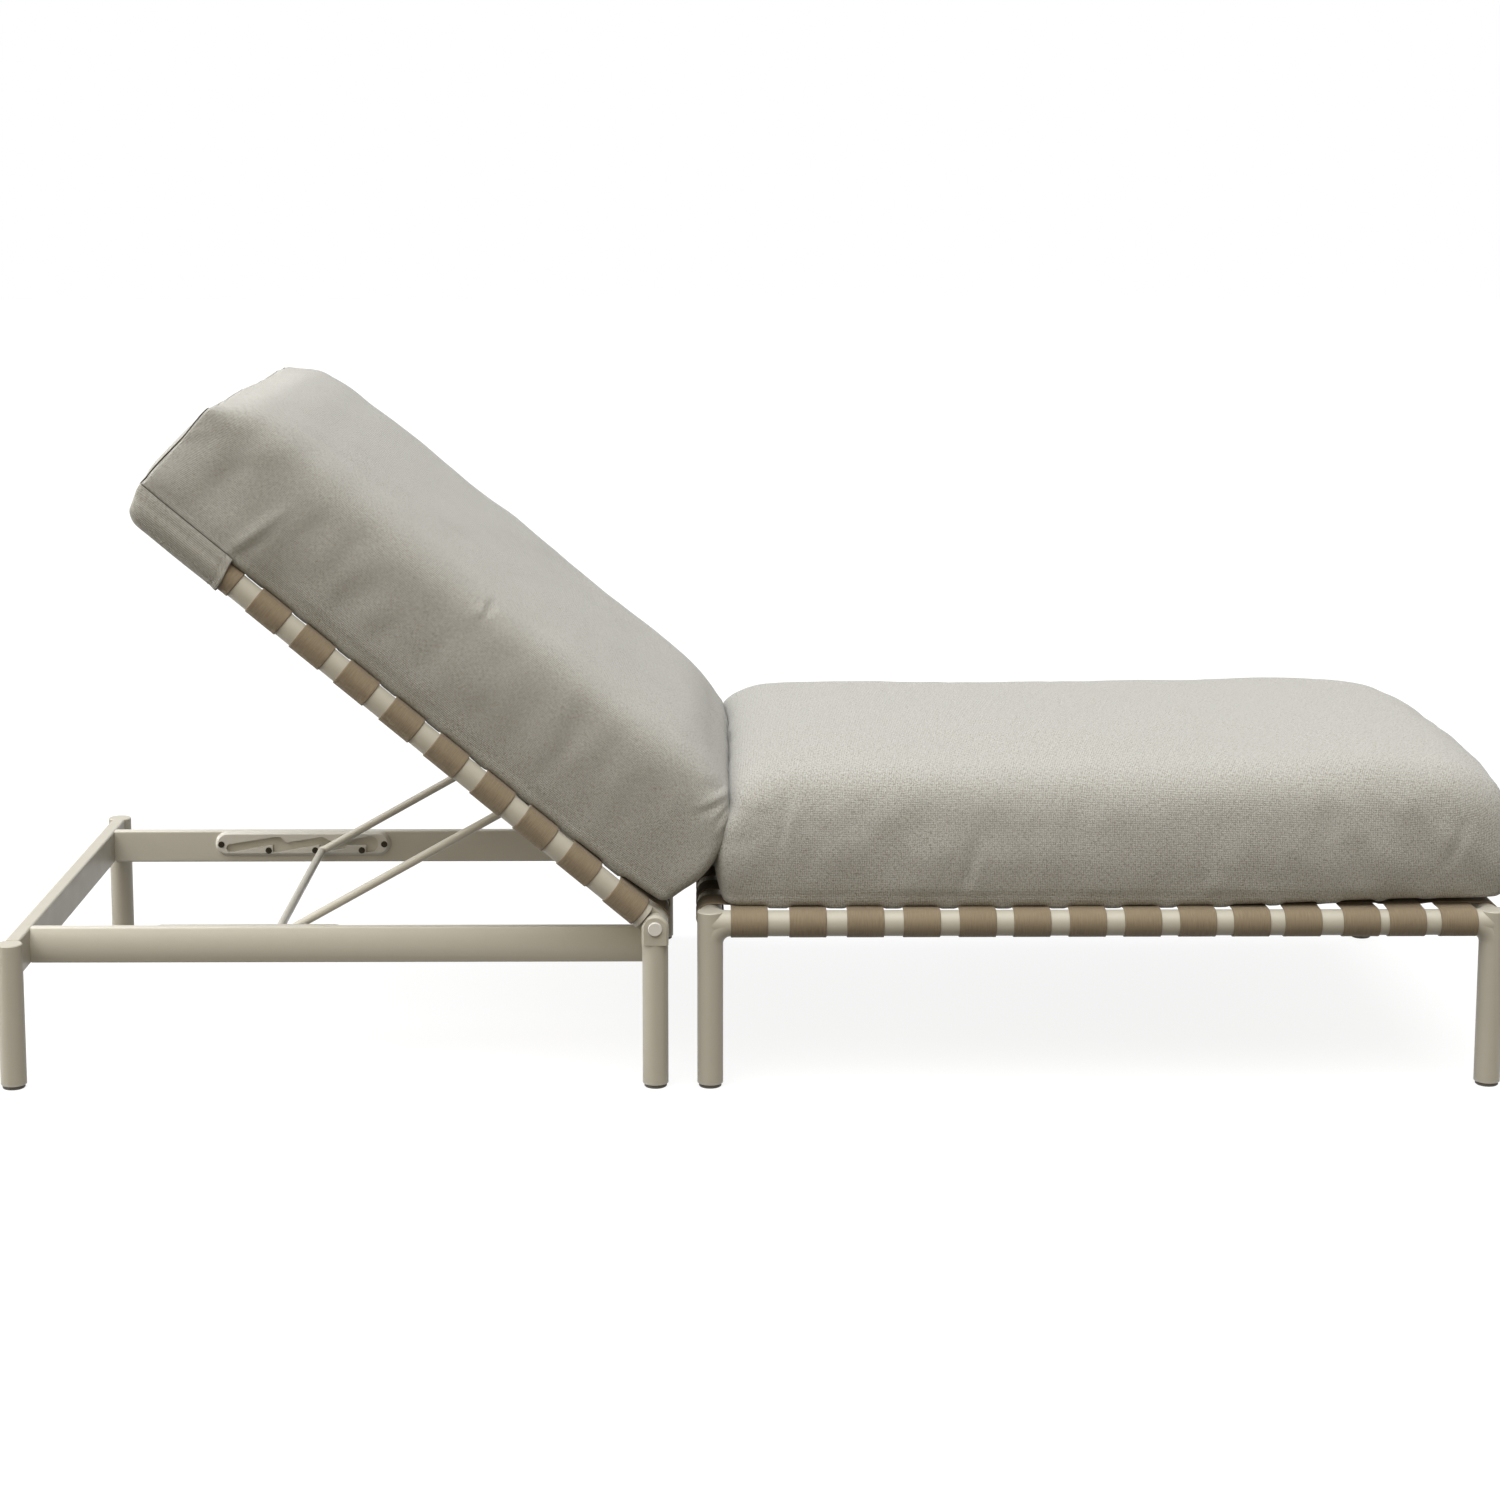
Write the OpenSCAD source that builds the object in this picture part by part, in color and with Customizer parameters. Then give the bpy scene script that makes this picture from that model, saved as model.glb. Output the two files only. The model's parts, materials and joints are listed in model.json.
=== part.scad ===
// Reclining sun lounger: a low base with a tilting back, and a seat frame
// standing beside it, both strung with webbing and fitted with thick cushions.
// Frame: +X towards the foot end, +Y to the lounger's left side, +Z up.
// The origin is under the middle of the lounger, on the ground.

/* [Overall] */
// Overall length, head legs to foot end
overall_l = 2035; // [1940:5:2120]
// Distance between the left and right tube centre lines
frame_w = 750; // [700:5:800]
// Height of the seat tube centre line above the ground
seat_h = 226; // [220:1:240]

/* [Tube frame] */
// Outer diameter of the round tube
tube_d = 35; // [33:1:36]
// Wall thickness of the tube
tube_wall = 2; // [1.5:0.5:3]
// Inner fillet radius at the cast corners
fillet_r = 10; // [6:1:12]
// Gap between the legs of the two modules
module_gap = 39; // [36:1:50]

/* [Base] */
// Height of the top of the base legs and rails
base_h = 200; // [190:1:202]
// Height of the oblong rail section
rail_h = 50; // [44:1:52]
// Thickness of the oblong rail section
rail_t = 20; // [18:1:22]
// Radius of the side rails' bowed outer face
rail_bow = 55; // [40:1:120]
// Distance of each side rail's outer face from the leg centre line
rail_inset = 75; // [70:1:85]

/* [Back] */
// Length between the hinge axis and the head tube's centre line
back_l = 869; // [850:1:880]
// Angle of the back above horizontal as modelled
rest_angle = 40; // [38:1:41]
// Height of the hinge axis
hinge_z = 223; // [222:1:226]
// Width of the hinge knuckle
knuckle_w = 36; // [34:1:36]
// Diameter of the hinge bolt's shank
bolt_d = 10; // [8:1:10]

/* [Prop] */
// Diameter of the prop rod
prop_d = 12; // [10:1:12]
// Distance along the back from the hinge axis to the prop's pivot
prop_along = 242; // [238:1:246]
// Distance of the prop's pivot below the back's centre plane
prop_below = 28; // [27:1:30]
// Distance of the rack's second tooth from the hinge axis
tooth_from_hinge = 537; // [533:1:540]
// Spacing of the rack's teeth
tooth_pitch = 73; // [70:1:75]

/* [Webbing] */
// Width of a strap
strap_w = 50; // [45:1:55]
// Thickness of a strap
strap_t = 1.5; // [1:0.1:1.5]
// Straps across the seat
seat_straps = 14; // [12:1:14]
// Spacing of the straps across the seat
seat_pitch = 73.7; // [72:0.1:73.7]
// Straps across the back
back_straps = 11; // [9:1:11]
// Spacing of the straps across the back
back_pitch = 77.2; // [75:0.1:77.2]
// Lengthwise straps on each frame
long_straps = 9; // [7:2:9]
// Spacing of the lengthwise straps
long_pitch = 79.5; // [74:0.5:80]

/* [Cushions] */
// Width of both cushions
cushion_w = 736; // [700:2:740]
// Thickness of the seat cushion at its crown
seat_cushion_t = 182; // [150:2:190]
// Thickness of the back cushion at its crown
back_cushion_t = 186; // [160:2:190]
// Length of the pocket that holds the head end of the back frame
pocket_l = 157; // [140:1:170]

/* [Feet] */
// Height of the dark glide pad
pad_h = 5; // [4:1:6]
// Height of the glide's rim ring
ring_h = 3; // [2:1:4]

/* [Hidden] */
$fn = 64;

frame_col = "#b9b2a0";
strap_col = "#8f7c61";
cloth_col = "#b8b3a8";
cap_col = "#d7d2cd";
plate_col = "#c8c6be";
screw_col = "#26221d";
pad_col = "#4c4a45";
brass_col = "#c9b98a";

tube_r = tube_d / 2;
bore_r = tube_r - tube_wall;
spigot_r = bore_r - 0.1;
leg_y = frame_w / 2;
stub = 28;                       // reach of a cast corner from its centre
spigot_l = 18;                   // part of a corner that goes inside the tube

head_x = -overall_l / 2 + tube_r;
hinge_x = head_x + back_l;
near_x = hinge_x + tube_d + module_gap;
foot_x = overall_l / 2 - tube_r - strap_t;
leg_z0 = pad_h + ring_h;

rail_z0 = base_h - rail_h;
rail_out = leg_y - rail_inset;
rail_in = rail_out - rail_t;

// Hinge
knuckle_r = knuckle_w / 2;
lap_y = leg_y + 0.4;             // outer face of the frame's half of the lap
cheek_y = leg_y + 2;             // inner face of the knuckle
face_y = leg_y + 18;             // outer face of the knuckle
bolt_r = bolt_d / 2;
bush_r = bolt_r + 2;

// Rack
plate_t = 7;
plate_h = 38;
plate_face = rail_in - plate_t;
plate_z = base_h - plate_h / 2;
wall2_x = hinge_x - tooth_from_hinge;
slot_z = base_h - 32.7;          // floor of the notches
slot_ramp = 61;
slot_rise = 11.2;
plate_x0 = wall2_x - tooth_pitch - 90;
plate_x1 = wall2_x + tooth_pitch + 38.5;

// Prop linkage, in the plane seen from the side
pin_x = wall2_x + prop_d / 2;
pin_z = slot_z + prop_d / 2;
up_x = hinge_x - prop_along * cos(rest_angle) - prop_below * sin(rest_angle);
up_z = hinge_z + prop_along * sin(rest_angle) - prop_below * cos(rest_angle);
prop_l = sqrt(pow(up_x - pin_x, 2) + pow(up_z - pin_z, 2));
prop_slope = atan2(up_z - pin_z, up_x - pin_x);
arm_y = 255;
arm_half = 6;
lug_t = 4;
cross_r = 15;
pivot_r = 4;

// ---- helpers ---------------------------------------------------------

// Back coordinates: hinge axis at the origin, the back lying along -X
module on_back() {
    translate([hinge_x, 0, hinge_z]) rotate([0, rest_angle, 0]) children();
}

// Prop coordinates: upper pivot at the origin, the arm lying along -X
module on_prop() {
    translate([up_x, 0, up_z]) rotate([0, -prop_slope, 0]) children();
}

// Cylinder along X from x0 to x1
module cyl_x(r, x0, x1) {
    translate([x0, 0, 0]) rotate([0, 90, 0]) cylinder(r = r, h = x1 - x0);
}

// Cylinder along Y from y0 to y1
module cyl_y(r, y0, y1) {
    translate([0, y0, 0]) rotate([-90, 0, 0]) cylinder(r = r, h = y1 - y0);
}

// Open tube along X
module tube_x(x0, x1) {
    difference() {
        cyl_x(tube_r, x0, x1);
        cyl_x(bore_r, x0 - 1, x1 + 1);
    }
}

// Open tube along Y
module tube_y(y0, y1) {
    difference() {
        cyl_y(tube_r, y0, y1);
        cyl_y(bore_r, y0 - 1, y1 + 1);
    }
}

// Quarter bend that fills the inside of a corner between +X and +Y arms
module bend() {
    translate([tube_r + fillet_r, tube_r + fillet_r, 0])
        rotate([0, 0, 180])
            rotate_extrude(angle = 90)
                translate([tube_r + fillet_r, 0]) circle(r = tube_r);
}

// Oblong rail section with rounded edges
module oblong(w, h, r) {
    square([w - 2 * r, h], center = true);
    square([w, h - 2 * r], center = true);
    for (i = [-1, 1], j = [-1, 1])
        translate([i * (w / 2 - r), j * (h / 2 - r)]) circle(r = r);
}

module rail_section() {
    difference() {
        oblong(rail_t, rail_h, 3);
        oblong(rail_t - 2 * tube_wall, rail_h - 2 * tube_wall, 1.2);
    }
}

// Tube with a bowed face toward +X, flat at the back, before its wall
module bowed(w, h, r, bow) {
    step = sqrt(pow(bow - r, 2) - pow(h / 2 - r, 2));
    edge = bow * (h / 2 - r) / (bow - r);
    side = w / 2 - bow + step;
    intersection() {
        translate([w / 2 - bow, 0]) circle(r = bow, $fn = 256);
        translate([r / 2, 0]) square([w - r, 2 * edge], center = true);
    }
    translate([(side + r - w / 2) / 2, 0])
        square([side - r + w / 2, h], center = true);
    translate([-w / 4, 0]) square([w / 2, h - 2 * r], center = true);
    for (x = [side, r - w / 2], j = [-1, 1])
        translate([x, j * (h / 2 - r)]) circle(r = r);
}

module bowed_section() {
    difference() {
        bowed(rail_t, rail_h, 3, rail_bow);
        bowed(rail_t - 2 * tube_wall, rail_h - 2 * tube_wall, 1.2,
            rail_bow - tube_wall);
    }
}

// ---- base ------------------------------------------------------------

module base_leg(x, y) {
    color(frame_col) translate([x, y, leg_z0]) difference() {
        cylinder(r = tube_r, h = base_h - 3 - leg_z0);
        translate([0, 0, -1]) cylinder(r = bore_r, h = base_h);
    }
}
module base_leg_head_right() base_leg(head_x, -leg_y);
module base_leg_head_left() base_leg(head_x, leg_y);
module base_leg_hinge_right() base_leg(hinge_x, -leg_y);
module base_leg_hinge_left() base_leg(hinge_x, leg_y);

// Welded caps that close the tops of the head legs
module base_leg_caps() {
    color(frame_col) for (s = [-1, 1]) translate([head_x, s * leg_y, 0]) {
        translate([0, 0, base_h - 3]) cylinder(r = tube_r, h = 1.8);
        translate([0, 0, base_h - 1.2])
            cylinder(r1 = tube_r, r2 = tube_r - 1.2, h = 1.2);
        translate([0, 0, base_h - 11]) cylinder(r = spigot_r, h = 8);
    }
}

// Cross rail whose ends are cut to sit on the round legs
module cross_rail(x) {
    color(frame_col) difference() {
        translate([x, 0, rail_z0 + rail_h / 2]) rotate([90, 0, 0])
            linear_extrude(height = frame_w - 20, center = true)
                rail_section();
        for (s = [-1, 1]) translate([x, s * leg_y, 0])
            cylinder(r = tube_r, h = base_h + 10);
    }
}
module head_cross_rail() cross_rail(head_x);
module hinge_cross_rail() cross_rail(hinge_x);

// Side rail with the screw holes of its rack plate in its inner wall
module side_rail(s) {
    x0 = head_x + rail_t / 2;
    x1 = hinge_x - rail_t / 2;
    color(frame_col) difference() {
        translate([x0, s * (rail_out - rail_t / 2), rail_z0 + rail_h / 2])
            rotate([90, 0, 90]) linear_extrude(height = x1 - x0)
                rotate(s > 0 ? 0 : 180) bowed_section();
        for (p = screw_points()) translate([p[0], 0, p[1]])
            cyl_y(2.5, s > 0 ? rail_in - 1 : -rail_in - tube_wall - 1,
                s > 0 ? rail_in + tube_wall + 1 : -rail_in + 1);
    }
}
module side_rail_right() side_rail(-1);
module side_rail_left() side_rail(1);

// ---- rack ------------------------------------------------------------

function wall_x(i) = wall2_x + (i - 1) * tooth_pitch;
function screw_points() = concat(
    [[plate_x0 + 9.5, plate_z - 1], [plate_x1 - 9.5, plate_z - 1]],
    [for (i = [0:2]) [wall_x(i) - 6.4, slot_z + 3]]);

// Toothed slot: each ramp climbs to a tooth, then drops into a notch
module slot_shape() {
    lower = [for (i = [0:2]) each [
        [wall_x(i) - slot_ramp, slot_z],
        [wall_x(i), slot_z + slot_rise],
        [wall_x(i), slot_z]]];
    upper = [for (i = [2:-1:1]) each [
        [wall_x(i) + 5, slot_z + 25],
        [wall_x(i) - tooth_pitch + 22, slot_z + 15.7]]];
    difference() {
        union() {
            polygon(concat(
                [[wall_x(0) - 66, slot_z]], lower,
                [[wall_x(2) + 6, slot_z], [wall_x(2) + 6, slot_z + 26]],
                upper,
                [[wall_x(0) + 12, slot_z + 24.5], [wall_x(0) + 4, slot_z + 25],
                 [wall_x(0) - 66, slot_z + 13.5]]));
            translate([wall_x(0) - 66, slot_z + 6.75]) circle(r = 6.75);
            translate([wall_x(2) + 6.5, slot_z + 13]) circle(r = 13);
        }
        translate([wall_x(2) - 30, slot_z - 10])
            square([30, slot_rise + 9.5]);
    }
}

// Stadium plate with bevelled edges, toothed slot and screw holes
module rack_plate(s) {
    r = plate_h / 2;
    b = 4;
    color(plate_col) difference() {
        union() {
            for (x = [plate_x0 + r, plate_x1 - r]) translate([x, 0, plate_z]) {
                if (s > 0) {
                    cyl_y(r, plate_face + b, rail_in);
                    translate([0, plate_face, 0]) rotate([-90, 0, 0])
                        cylinder(r1 = r - b, r2 = r, h = b);
                } else {
                    cyl_y(r, -rail_in, -plate_face - b);
                    translate([0, -plate_face, 0]) rotate([90, 0, 0])
                        cylinder(r1 = r - b, r2 = r, h = b);
                }
            }
            translate([plate_x0 + r, 0, plate_z]) rotate([90, 0, 90])
                linear_extrude(height = plate_x1 - plate_x0 - 2 * r)
                    polygon([[s * rail_in, -r], [s * rail_in, r],
                        [s * (plate_face + b), r], [s * plate_face, r - b],
                        [s * plate_face, b - r], [s * (plate_face + b), -r]]);
        }
        translate([0, s * (rail_in - plate_t / 2), 0]) rotate([90, 0, 0])
            linear_extrude(height = plate_t + 4, center = true) slot_shape();
        for (p = screw_points()) translate([p[0], 0, p[1]])
            cyl_y(2.6, min(s * rail_in, s * plate_face) - 1,
                max(s * rail_in, s * plate_face) + 1);
    }
}
module rack_plate_right() rack_plate(-1);
module rack_plate_left() rack_plate(1);

// Domed screws that hold the rack plates, with hexagon sockets
module rack_screws() {
    color(screw_col) for (s = [-1, 1], p = screw_points())
        translate([p[0], s * plate_face, p[1]]) rotate([s * 90, 0, 0])
            difference() {
                union() {
                    cylinder(r = 5, h = 0.8);
                    translate([0, 0, 0.8])
                        cylinder(r1 = 5, r2 = 4, h = 0.8);
                    translate([0, 0, -12]) cylinder(r = 2.4, h = 12);
                }
                translate([0, 0, 0.4]) cylinder(r = 1.8, h = 2, $fn = 6);
            }
}

// ---- hinge -----------------------------------------------------------

// Round-topped knuckle standing on the outer half of the hinge leg
module hinge_knuckle(s) {
    e = 3;
    r = knuckle_r;
    color(frame_col) scale([1, s, 1]) translate([hinge_x, 0, 0]) difference() {
        union() {
            translate([0, 0, hinge_z]) {
                cyl_y(r, cheek_y, face_y - e);
                translate([0, face_y - e, 0]) rotate([-90, 0, 0])
                    cylinder(r1 = r, r2 = r - e, h = e);
            }
            translate([0, 0, base_h]) linear_extrude(height = hinge_z - base_h)
                polygon([[-r, cheek_y], [r, cheek_y], [r, face_y - e],
                    [r - e, face_y], [e - r, face_y], [-r, face_y - e]]);
            translate([0, leg_y, base_h]) cylinder(r = tube_r, h = 4.5);
            translate([0, leg_y, base_h - 3]) cylinder(r = tube_r, h = 3);
            translate([0, leg_y, base_h - 18]) cylinder(r = spigot_r, h = 15);
        }
        translate([0, 0, hinge_z]) cyl_y(bush_r, leg_y - 5, face_y + 5);
    }
}
module hinge_knuckle_right() hinge_knuckle(-1);
module hinge_knuckle_left() hinge_knuckle(1);

// Plain bushes in the knuckles
module hinge_bushes() {
    color(brass_col) for (s = [-1, 1]) scale([1, s, 1])
        translate([hinge_x, 0, hinge_z]) difference() {
            cyl_y(bush_r, cheek_y, face_y);
            cyl_y(bolt_r + 0.05, cheek_y - 1, face_y + 1);
        }
}

// Shoulder bolt with a broad light cap, screwed into the back's corner
module hinge_bolt(s) {
    color(cap_col) scale([1, s, 1]) translate([hinge_x, 0, hinge_z]) {
        cyl_y(bolt_r, leg_y - 24, face_y + 0.4);
        cyl_y(9.5, face_y + 0.4, face_y + 2.6);
        translate([0, face_y + 2.6, 0]) rotate([-90, 0, 0])
            cylinder(r1 = 9.5, r2 = 8.6, h = 0.9);
    }
}
module hinge_bolt_right() hinge_bolt(-1);
module hinge_bolt_left() hinge_bolt(1);

module hinge_washers() {
    color(brass_col) for (s = [-1, 1]) scale([1, s, 1])
        translate([hinge_x, 0, hinge_z]) difference() {
            cyl_y(12, lap_y, cheek_y - 0.4);
            cyl_y(bolt_r, lap_y - 1, cheek_y + 1);
        }
}

// ---- back frame ------------------------------------------------------

// Corner at the hinge: the outer half is cut away to lap the knuckle
module back_corner_hinge(s) {
    color(frame_col) on_back() scale([-1, s, 1]) difference() {
        union() {
            translate([0, leg_y, 0]) cyl_x(tube_r, 0, stub);
            cyl_y(tube_r, leg_y - stub, lap_y);
            translate([0, leg_y, 0]) scale([1, -1, 1]) bend();
            translate([0, leg_y, 0]) cyl_x(spigot_r, stub, stub + spigot_l);
            cyl_y(spigot_r, leg_y - stub - spigot_l, leg_y - stub);
        }
        translate([-30, lap_y, -30]) cube([30 + knuckle_r + 1.4, 40, 60]);
        cyl_y(bolt_r, leg_y - 24, leg_y + 30);
    }
}
module back_corner_hinge_right() back_corner_hinge(-1);
module back_corner_hinge_left() back_corner_hinge(1);

module back_corner_head(s) {
    color(frame_col) on_back() translate([-back_l, s * leg_y, 0])
        scale([1, -s, 1]) {
            cyl_x(tube_r, 0, stub);
            cyl_y(tube_r, 0, stub);
            sphere(r = tube_r);
            bend();
            cyl_x(spigot_r, stub, stub + spigot_l);
            cyl_y(spigot_r, stub, stub + spigot_l);
        }
}
module back_corner_head_right() back_corner_head(-1);
module back_corner_head_left() back_corner_head(1);

module back_side_tube(s) {
    color(frame_col) on_back() translate([0, s * leg_y, 0])
        tube_x(-back_l + stub, -stub);
}
module back_side_tube_right() back_side_tube(-1);
module back_side_tube_left() back_side_tube(1);

module back_head_tube() {
    color(frame_col) on_back() translate([-back_l, 0, 0])
        tube_y(-leg_y + stub, leg_y - stub);
}
module back_foot_tube() {
    color(frame_col) on_back() tube_y(-leg_y + stub, leg_y - stub);
}

// Tube across the back that carries the prop
module back_cross_tube() {
    color(frame_col) on_back() translate([-prop_along, 0, 0]) difference() {
        cyl_y(cross_r, -leg_y, leg_y);
        cyl_y(cross_r - tube_wall, -leg_y - 1, leg_y + 1);
        for (s = [-1, 1]) translate([0, s * leg_y, 0])
            cyl_x(tube_r, -40, 40);
    }
}

// Two ears on each side hang from the cross tube and hold the pivot pins
module prop_lugs() {
    color(frame_col) on_back() for (s = [-1, 1], k = [-1, 1])
        translate([-prop_along, s * arm_y
            + k * (arm_half + 0.5 + lug_t / 2), 0]) difference() {
            union() {
                translate([0, 0, -prop_below]) cyl_y(11, -lug_t / 2, lug_t / 2);
                translate([-11, -lug_t / 2, -prop_below])
                    cube([22, lug_t, prop_below - 6]);
            }
            cyl_y(cross_r, -lug_t, lug_t);
            translate([0, 0, -prop_below]) cyl_y(pivot_r, -lug_t, lug_t);
        }
}

module prop_pivot_pins() {
    y0 = arm_y - arm_half - 0.5 - lug_t;
    y1 = arm_y + arm_half + 0.5 + lug_t;
    color(cap_col) on_back() for (s = [-1, 1]) scale([1, s, 1])
        translate([-prop_along, 0, -prop_below]) {
            cyl_y(pivot_r, y0, y1);
            cyl_y(6, y0 - 1.5, y0);
            cyl_y(6, y1, y1 + 1.5);
        }
}

// ---- prop ------------------------------------------------------------

module prop_arm(s) {
    color(frame_col) on_prop() translate([0, s * arm_y, 0]) difference() {
        union() {
            cyl_x(prop_d / 2, -prop_l, 0);
            cyl_y(10, 0.7 - arm_half, arm_half - 0.7);
        }
        cyl_y(pivot_r + 0.05, -20, 20);
        translate([-prop_l, 0, 0]) cyl_y(prop_d / 2 + 0.4, -20, 20);
    }
}
module prop_arm_right() prop_arm(-1);
module prop_arm_left() prop_arm(1);

// Crossbar with reduced ends that rest in the notches of the rack
module prop_crossbar() {
    color(frame_col) on_prop() translate([-prop_l, 0, 0]) {
        cyl_y(prop_d / 2, -arm_y - 10, arm_y + 10);
        for (s = [-1, 1]) scale([1, s, 1]) {
            cyl_y(prop_d / 2 - 1, arm_y + 10, plate_face - 3.3);
            translate([0, plate_face - 3.3, 0]) rotate([-90, 0, 0])
                cylinder(r1 = prop_d / 2 - 1, r2 = prop_d / 2 - 2, h = 1);
        }
    }
}

// ---- webbing ---------------------------------------------------------

// End of a strap wrapped round a tube that runs along Y, a strap's width
// wide; a0 is where the wrap starts, measured at the tube
module wrap(a0, a1) {
    rotate([90, 0, 0]) translate([0, 0, -strap_w / 2]) rotate([0, 0, a0])
        rotate_extrude(angle = a1 - a0) translate([tube_r, 0])
            square([strap_t, strap_w]);
}

// Strap across: flat run over both side tubes, ends wrapped underneath
module strap_across() {
    translate([-strap_w / 2, -leg_y + 0.05, tube_r])
        cube([strap_w, 2 * leg_y - 0.1, strap_t]);
    for (s = [0, 180]) rotate([0, 0, s]) translate([0, leg_y, 0])
        rotate([0, 0, 90]) wrap(-130, 90);
}

// Strap along: woven under the others, ends wrapped over the end tubes
module strap_along(x0, x1) {
    translate([x0 + 8.2, -strap_w / 2, tube_r - strap_t])
        cube([x1 - x0 - 16.4, strap_w, strap_t - 0.1]);
    translate([x1, 0, 0]) wrap(-130, 115);
    translate([x0, 0, 0]) rotate([0, 0, 180]) wrap(-130, 115);
}

// The last strap across each frame keeps clear of the cast corners
module back_straps_across() {
    color(strap_col) on_back() for (i = [0:back_straps - 1])
        translate([-min(52 + i * back_pitch,
            back_l - stub - strap_w / 2 - 0.5), 0, 0]) strap_across();
}
module back_straps_along() {
    color(strap_col) on_back() for (i = [0:long_straps - 1])
        translate([0, (i - (long_straps - 1) / 2) * long_pitch, 0])
            strap_along(-back_l, 0);
}
module seat_straps_across() {
    color(strap_col) translate([0, 0, seat_h]) for (i = [0:seat_straps - 1])
        translate([min(near_x + 53 + i * seat_pitch,
            foot_x - stub - strap_w / 2 - 0.5), 0, 0]) strap_across();
}
module seat_straps_along() {
    color(strap_col) translate([0, 0, seat_h]) for (i = [0:long_straps - 1])
        translate([0, (i - (long_straps - 1) / 2) * long_pitch, 0])
            strap_along(near_x, foot_x);
}

// ---- cushions --------------------------------------------------------

// Cross-section of a cushion, pulled in towards its bottom edges
module cushion_section(t) {
    w = cushion_w / 2;
    polygon([[-w + 24, 0], [w - 24, 0], [w - 6, 34], [w, t * 0.45],
        [w - 4, t * 0.72], [w - 26, t * 0.9], [w - 90, t], [90 - w, t],
        [26 - w, t * 0.9], [4 - w, t * 0.72], [-w, t * 0.45], [6 - w, 34]]);
}

module seat_cushion() {
    x0 = near_x + 19;
    x1 = foot_x + 19;
    t = seat_cushion_t;
    color(cloth_col) translate([0, 0, seat_h + tube_r + strap_t + 0.3])
        intersection() {
            translate([x0, 0, 0]) rotate([90, 0, 90])
                linear_extrude(height = x1 - x0) cushion_section(t);
            rotate([90, 0, 0]) linear_extrude(height = 900, center = true)
                polygon([[x0 + 16, 0], [x1 - 14, 0], [x1, 36],
                    [x1, t * 0.62], [x1 - 10, t * 0.86], [x1 - 50, t * 0.97],
                    [x1 - 160, t], [x0 + 160, t], [x0 + 50, t * 0.97],
                    [x0 + 9, t * 0.86], [x0, t * 0.6], [x0, 44]]);
        }
}

// The heel is cut back so that it clears the seat cushion when upright
module back_cushion() {
    t = back_cushion_t;
    h = tube_r + strap_t + 0.3;
    e = back_l + 30;
    color(cloth_col) on_back() intersection() {
        translate([-e, 0, h]) rotate([90, 0, 90])
            linear_extrude(height = e) cushion_section(t);
        rotate([90, 0, 0]) linear_extrude(height = 900, center = true)
            polygon([[-22, h], [-8, 36], [-8, 108], [-112, 180],
                [-160, h + t * 0.97], [-300, h + t], [-700, h + t],
                [-e + 50, h + t * 0.92], [-e + 8, h + t * 0.8],
                [-e, h + t * 0.6], [-e + 2, h + 20], [-e + 14, h]]);
    }
}

// Pocket that slips over the head end of the frame: three sewn panels
module pocket_underside() {
    r = tube_r + strap_t;
    color(cloth_col) on_back()
        translate([-back_l - r, -leg_y - r - 2, -r - 2.3])
            cube([pocket_l - 17, 2 * (leg_y + r + 2), 2]);
}
module pocket_end() {
    r = tube_r + strap_t;
    color(cloth_col) on_back() rotate([90, 0, 0])
        linear_extrude(height = 2 * (leg_y + r + 2), center = true)
            polygon([[-back_l - r - 0.1, -r - 2.3], [-back_l - r - 0.1, r],
                [-back_l - r - 8, r - 2], [-back_l - r - 14, r - 10],
                [-back_l - r - 16, 0], [-back_l - r - 14, 8 - r],
                [-back_l - r - 8, -r]]);
}
module pocket_sides() {
    r = tube_r + strap_t;
    color(cloth_col) on_back() for (s = [-1, 1])
        translate([-back_l - r, s * (leg_y + r + 1.1) - 0.9, -r - 0.2])
            cube([pocket_l - 17, 1.8, 2 * r + 0.2]);
}

// ---- seat frame ------------------------------------------------------

// Cast three-way corner with a flat top; its arms run along +X, +Y and -Z
module seat_corner(x, sx, sy) {
    color(frame_col) translate([x, sy * leg_y, seat_h])
        scale([sx, -sy, 1]) {
            translate([0, 0, -stub]) cylinder(r = tube_r, h = stub + tube_r - 1.2);
            translate([0, 0, tube_r - 1.2])
                cylinder(r1 = tube_r, r2 = tube_r - 1.2, h = 1.2);
            cyl_x(tube_r, 0, stub);
            cyl_y(tube_r, 0, stub);
            bend();
            rotate([-90, 0, 0]) bend();
            rotate([0, 90, 0]) bend();
            cyl_x(spigot_r, stub, stub + spigot_l);
            cyl_y(spigot_r, stub, stub + spigot_l);
            translate([0, 0, -stub - spigot_l])
                cylinder(r = spigot_r, h = spigot_l);
        }
}
module seat_corner_near_right() seat_corner(near_x, 1, -1);
module seat_corner_near_left() seat_corner(near_x, 1, 1);
module seat_corner_foot_right() seat_corner(foot_x, -1, -1);
module seat_corner_foot_left() seat_corner(foot_x, -1, 1);

module seat_leg(x, y) {
    color(frame_col) translate([x, y, leg_z0]) difference() {
        cylinder(r = tube_r, h = seat_h - stub - leg_z0);
        translate([0, 0, -1]) cylinder(r = bore_r, h = seat_h);
    }
}
module seat_leg_near_right() seat_leg(near_x, -leg_y);
module seat_leg_near_left() seat_leg(near_x, leg_y);
module seat_leg_foot_right() seat_leg(foot_x, -leg_y);
module seat_leg_foot_left() seat_leg(foot_x, leg_y);

module seat_side_tube(s) {
    color(frame_col) translate([0, s * leg_y, seat_h])
        tube_x(near_x + stub, foot_x - stub);
}
module seat_side_tube_right() seat_side_tube(-1);
module seat_side_tube_left() seat_side_tube(1);

module seat_end_tube(x) {
    color(frame_col) translate([x, 0, seat_h])
        tube_y(-leg_y + stub, leg_y - stub);
}
module seat_end_tube_near() seat_end_tube(near_x);
module seat_end_tube_foot() seat_end_tube(foot_x);

// ---- feet ------------------------------------------------------------

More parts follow.
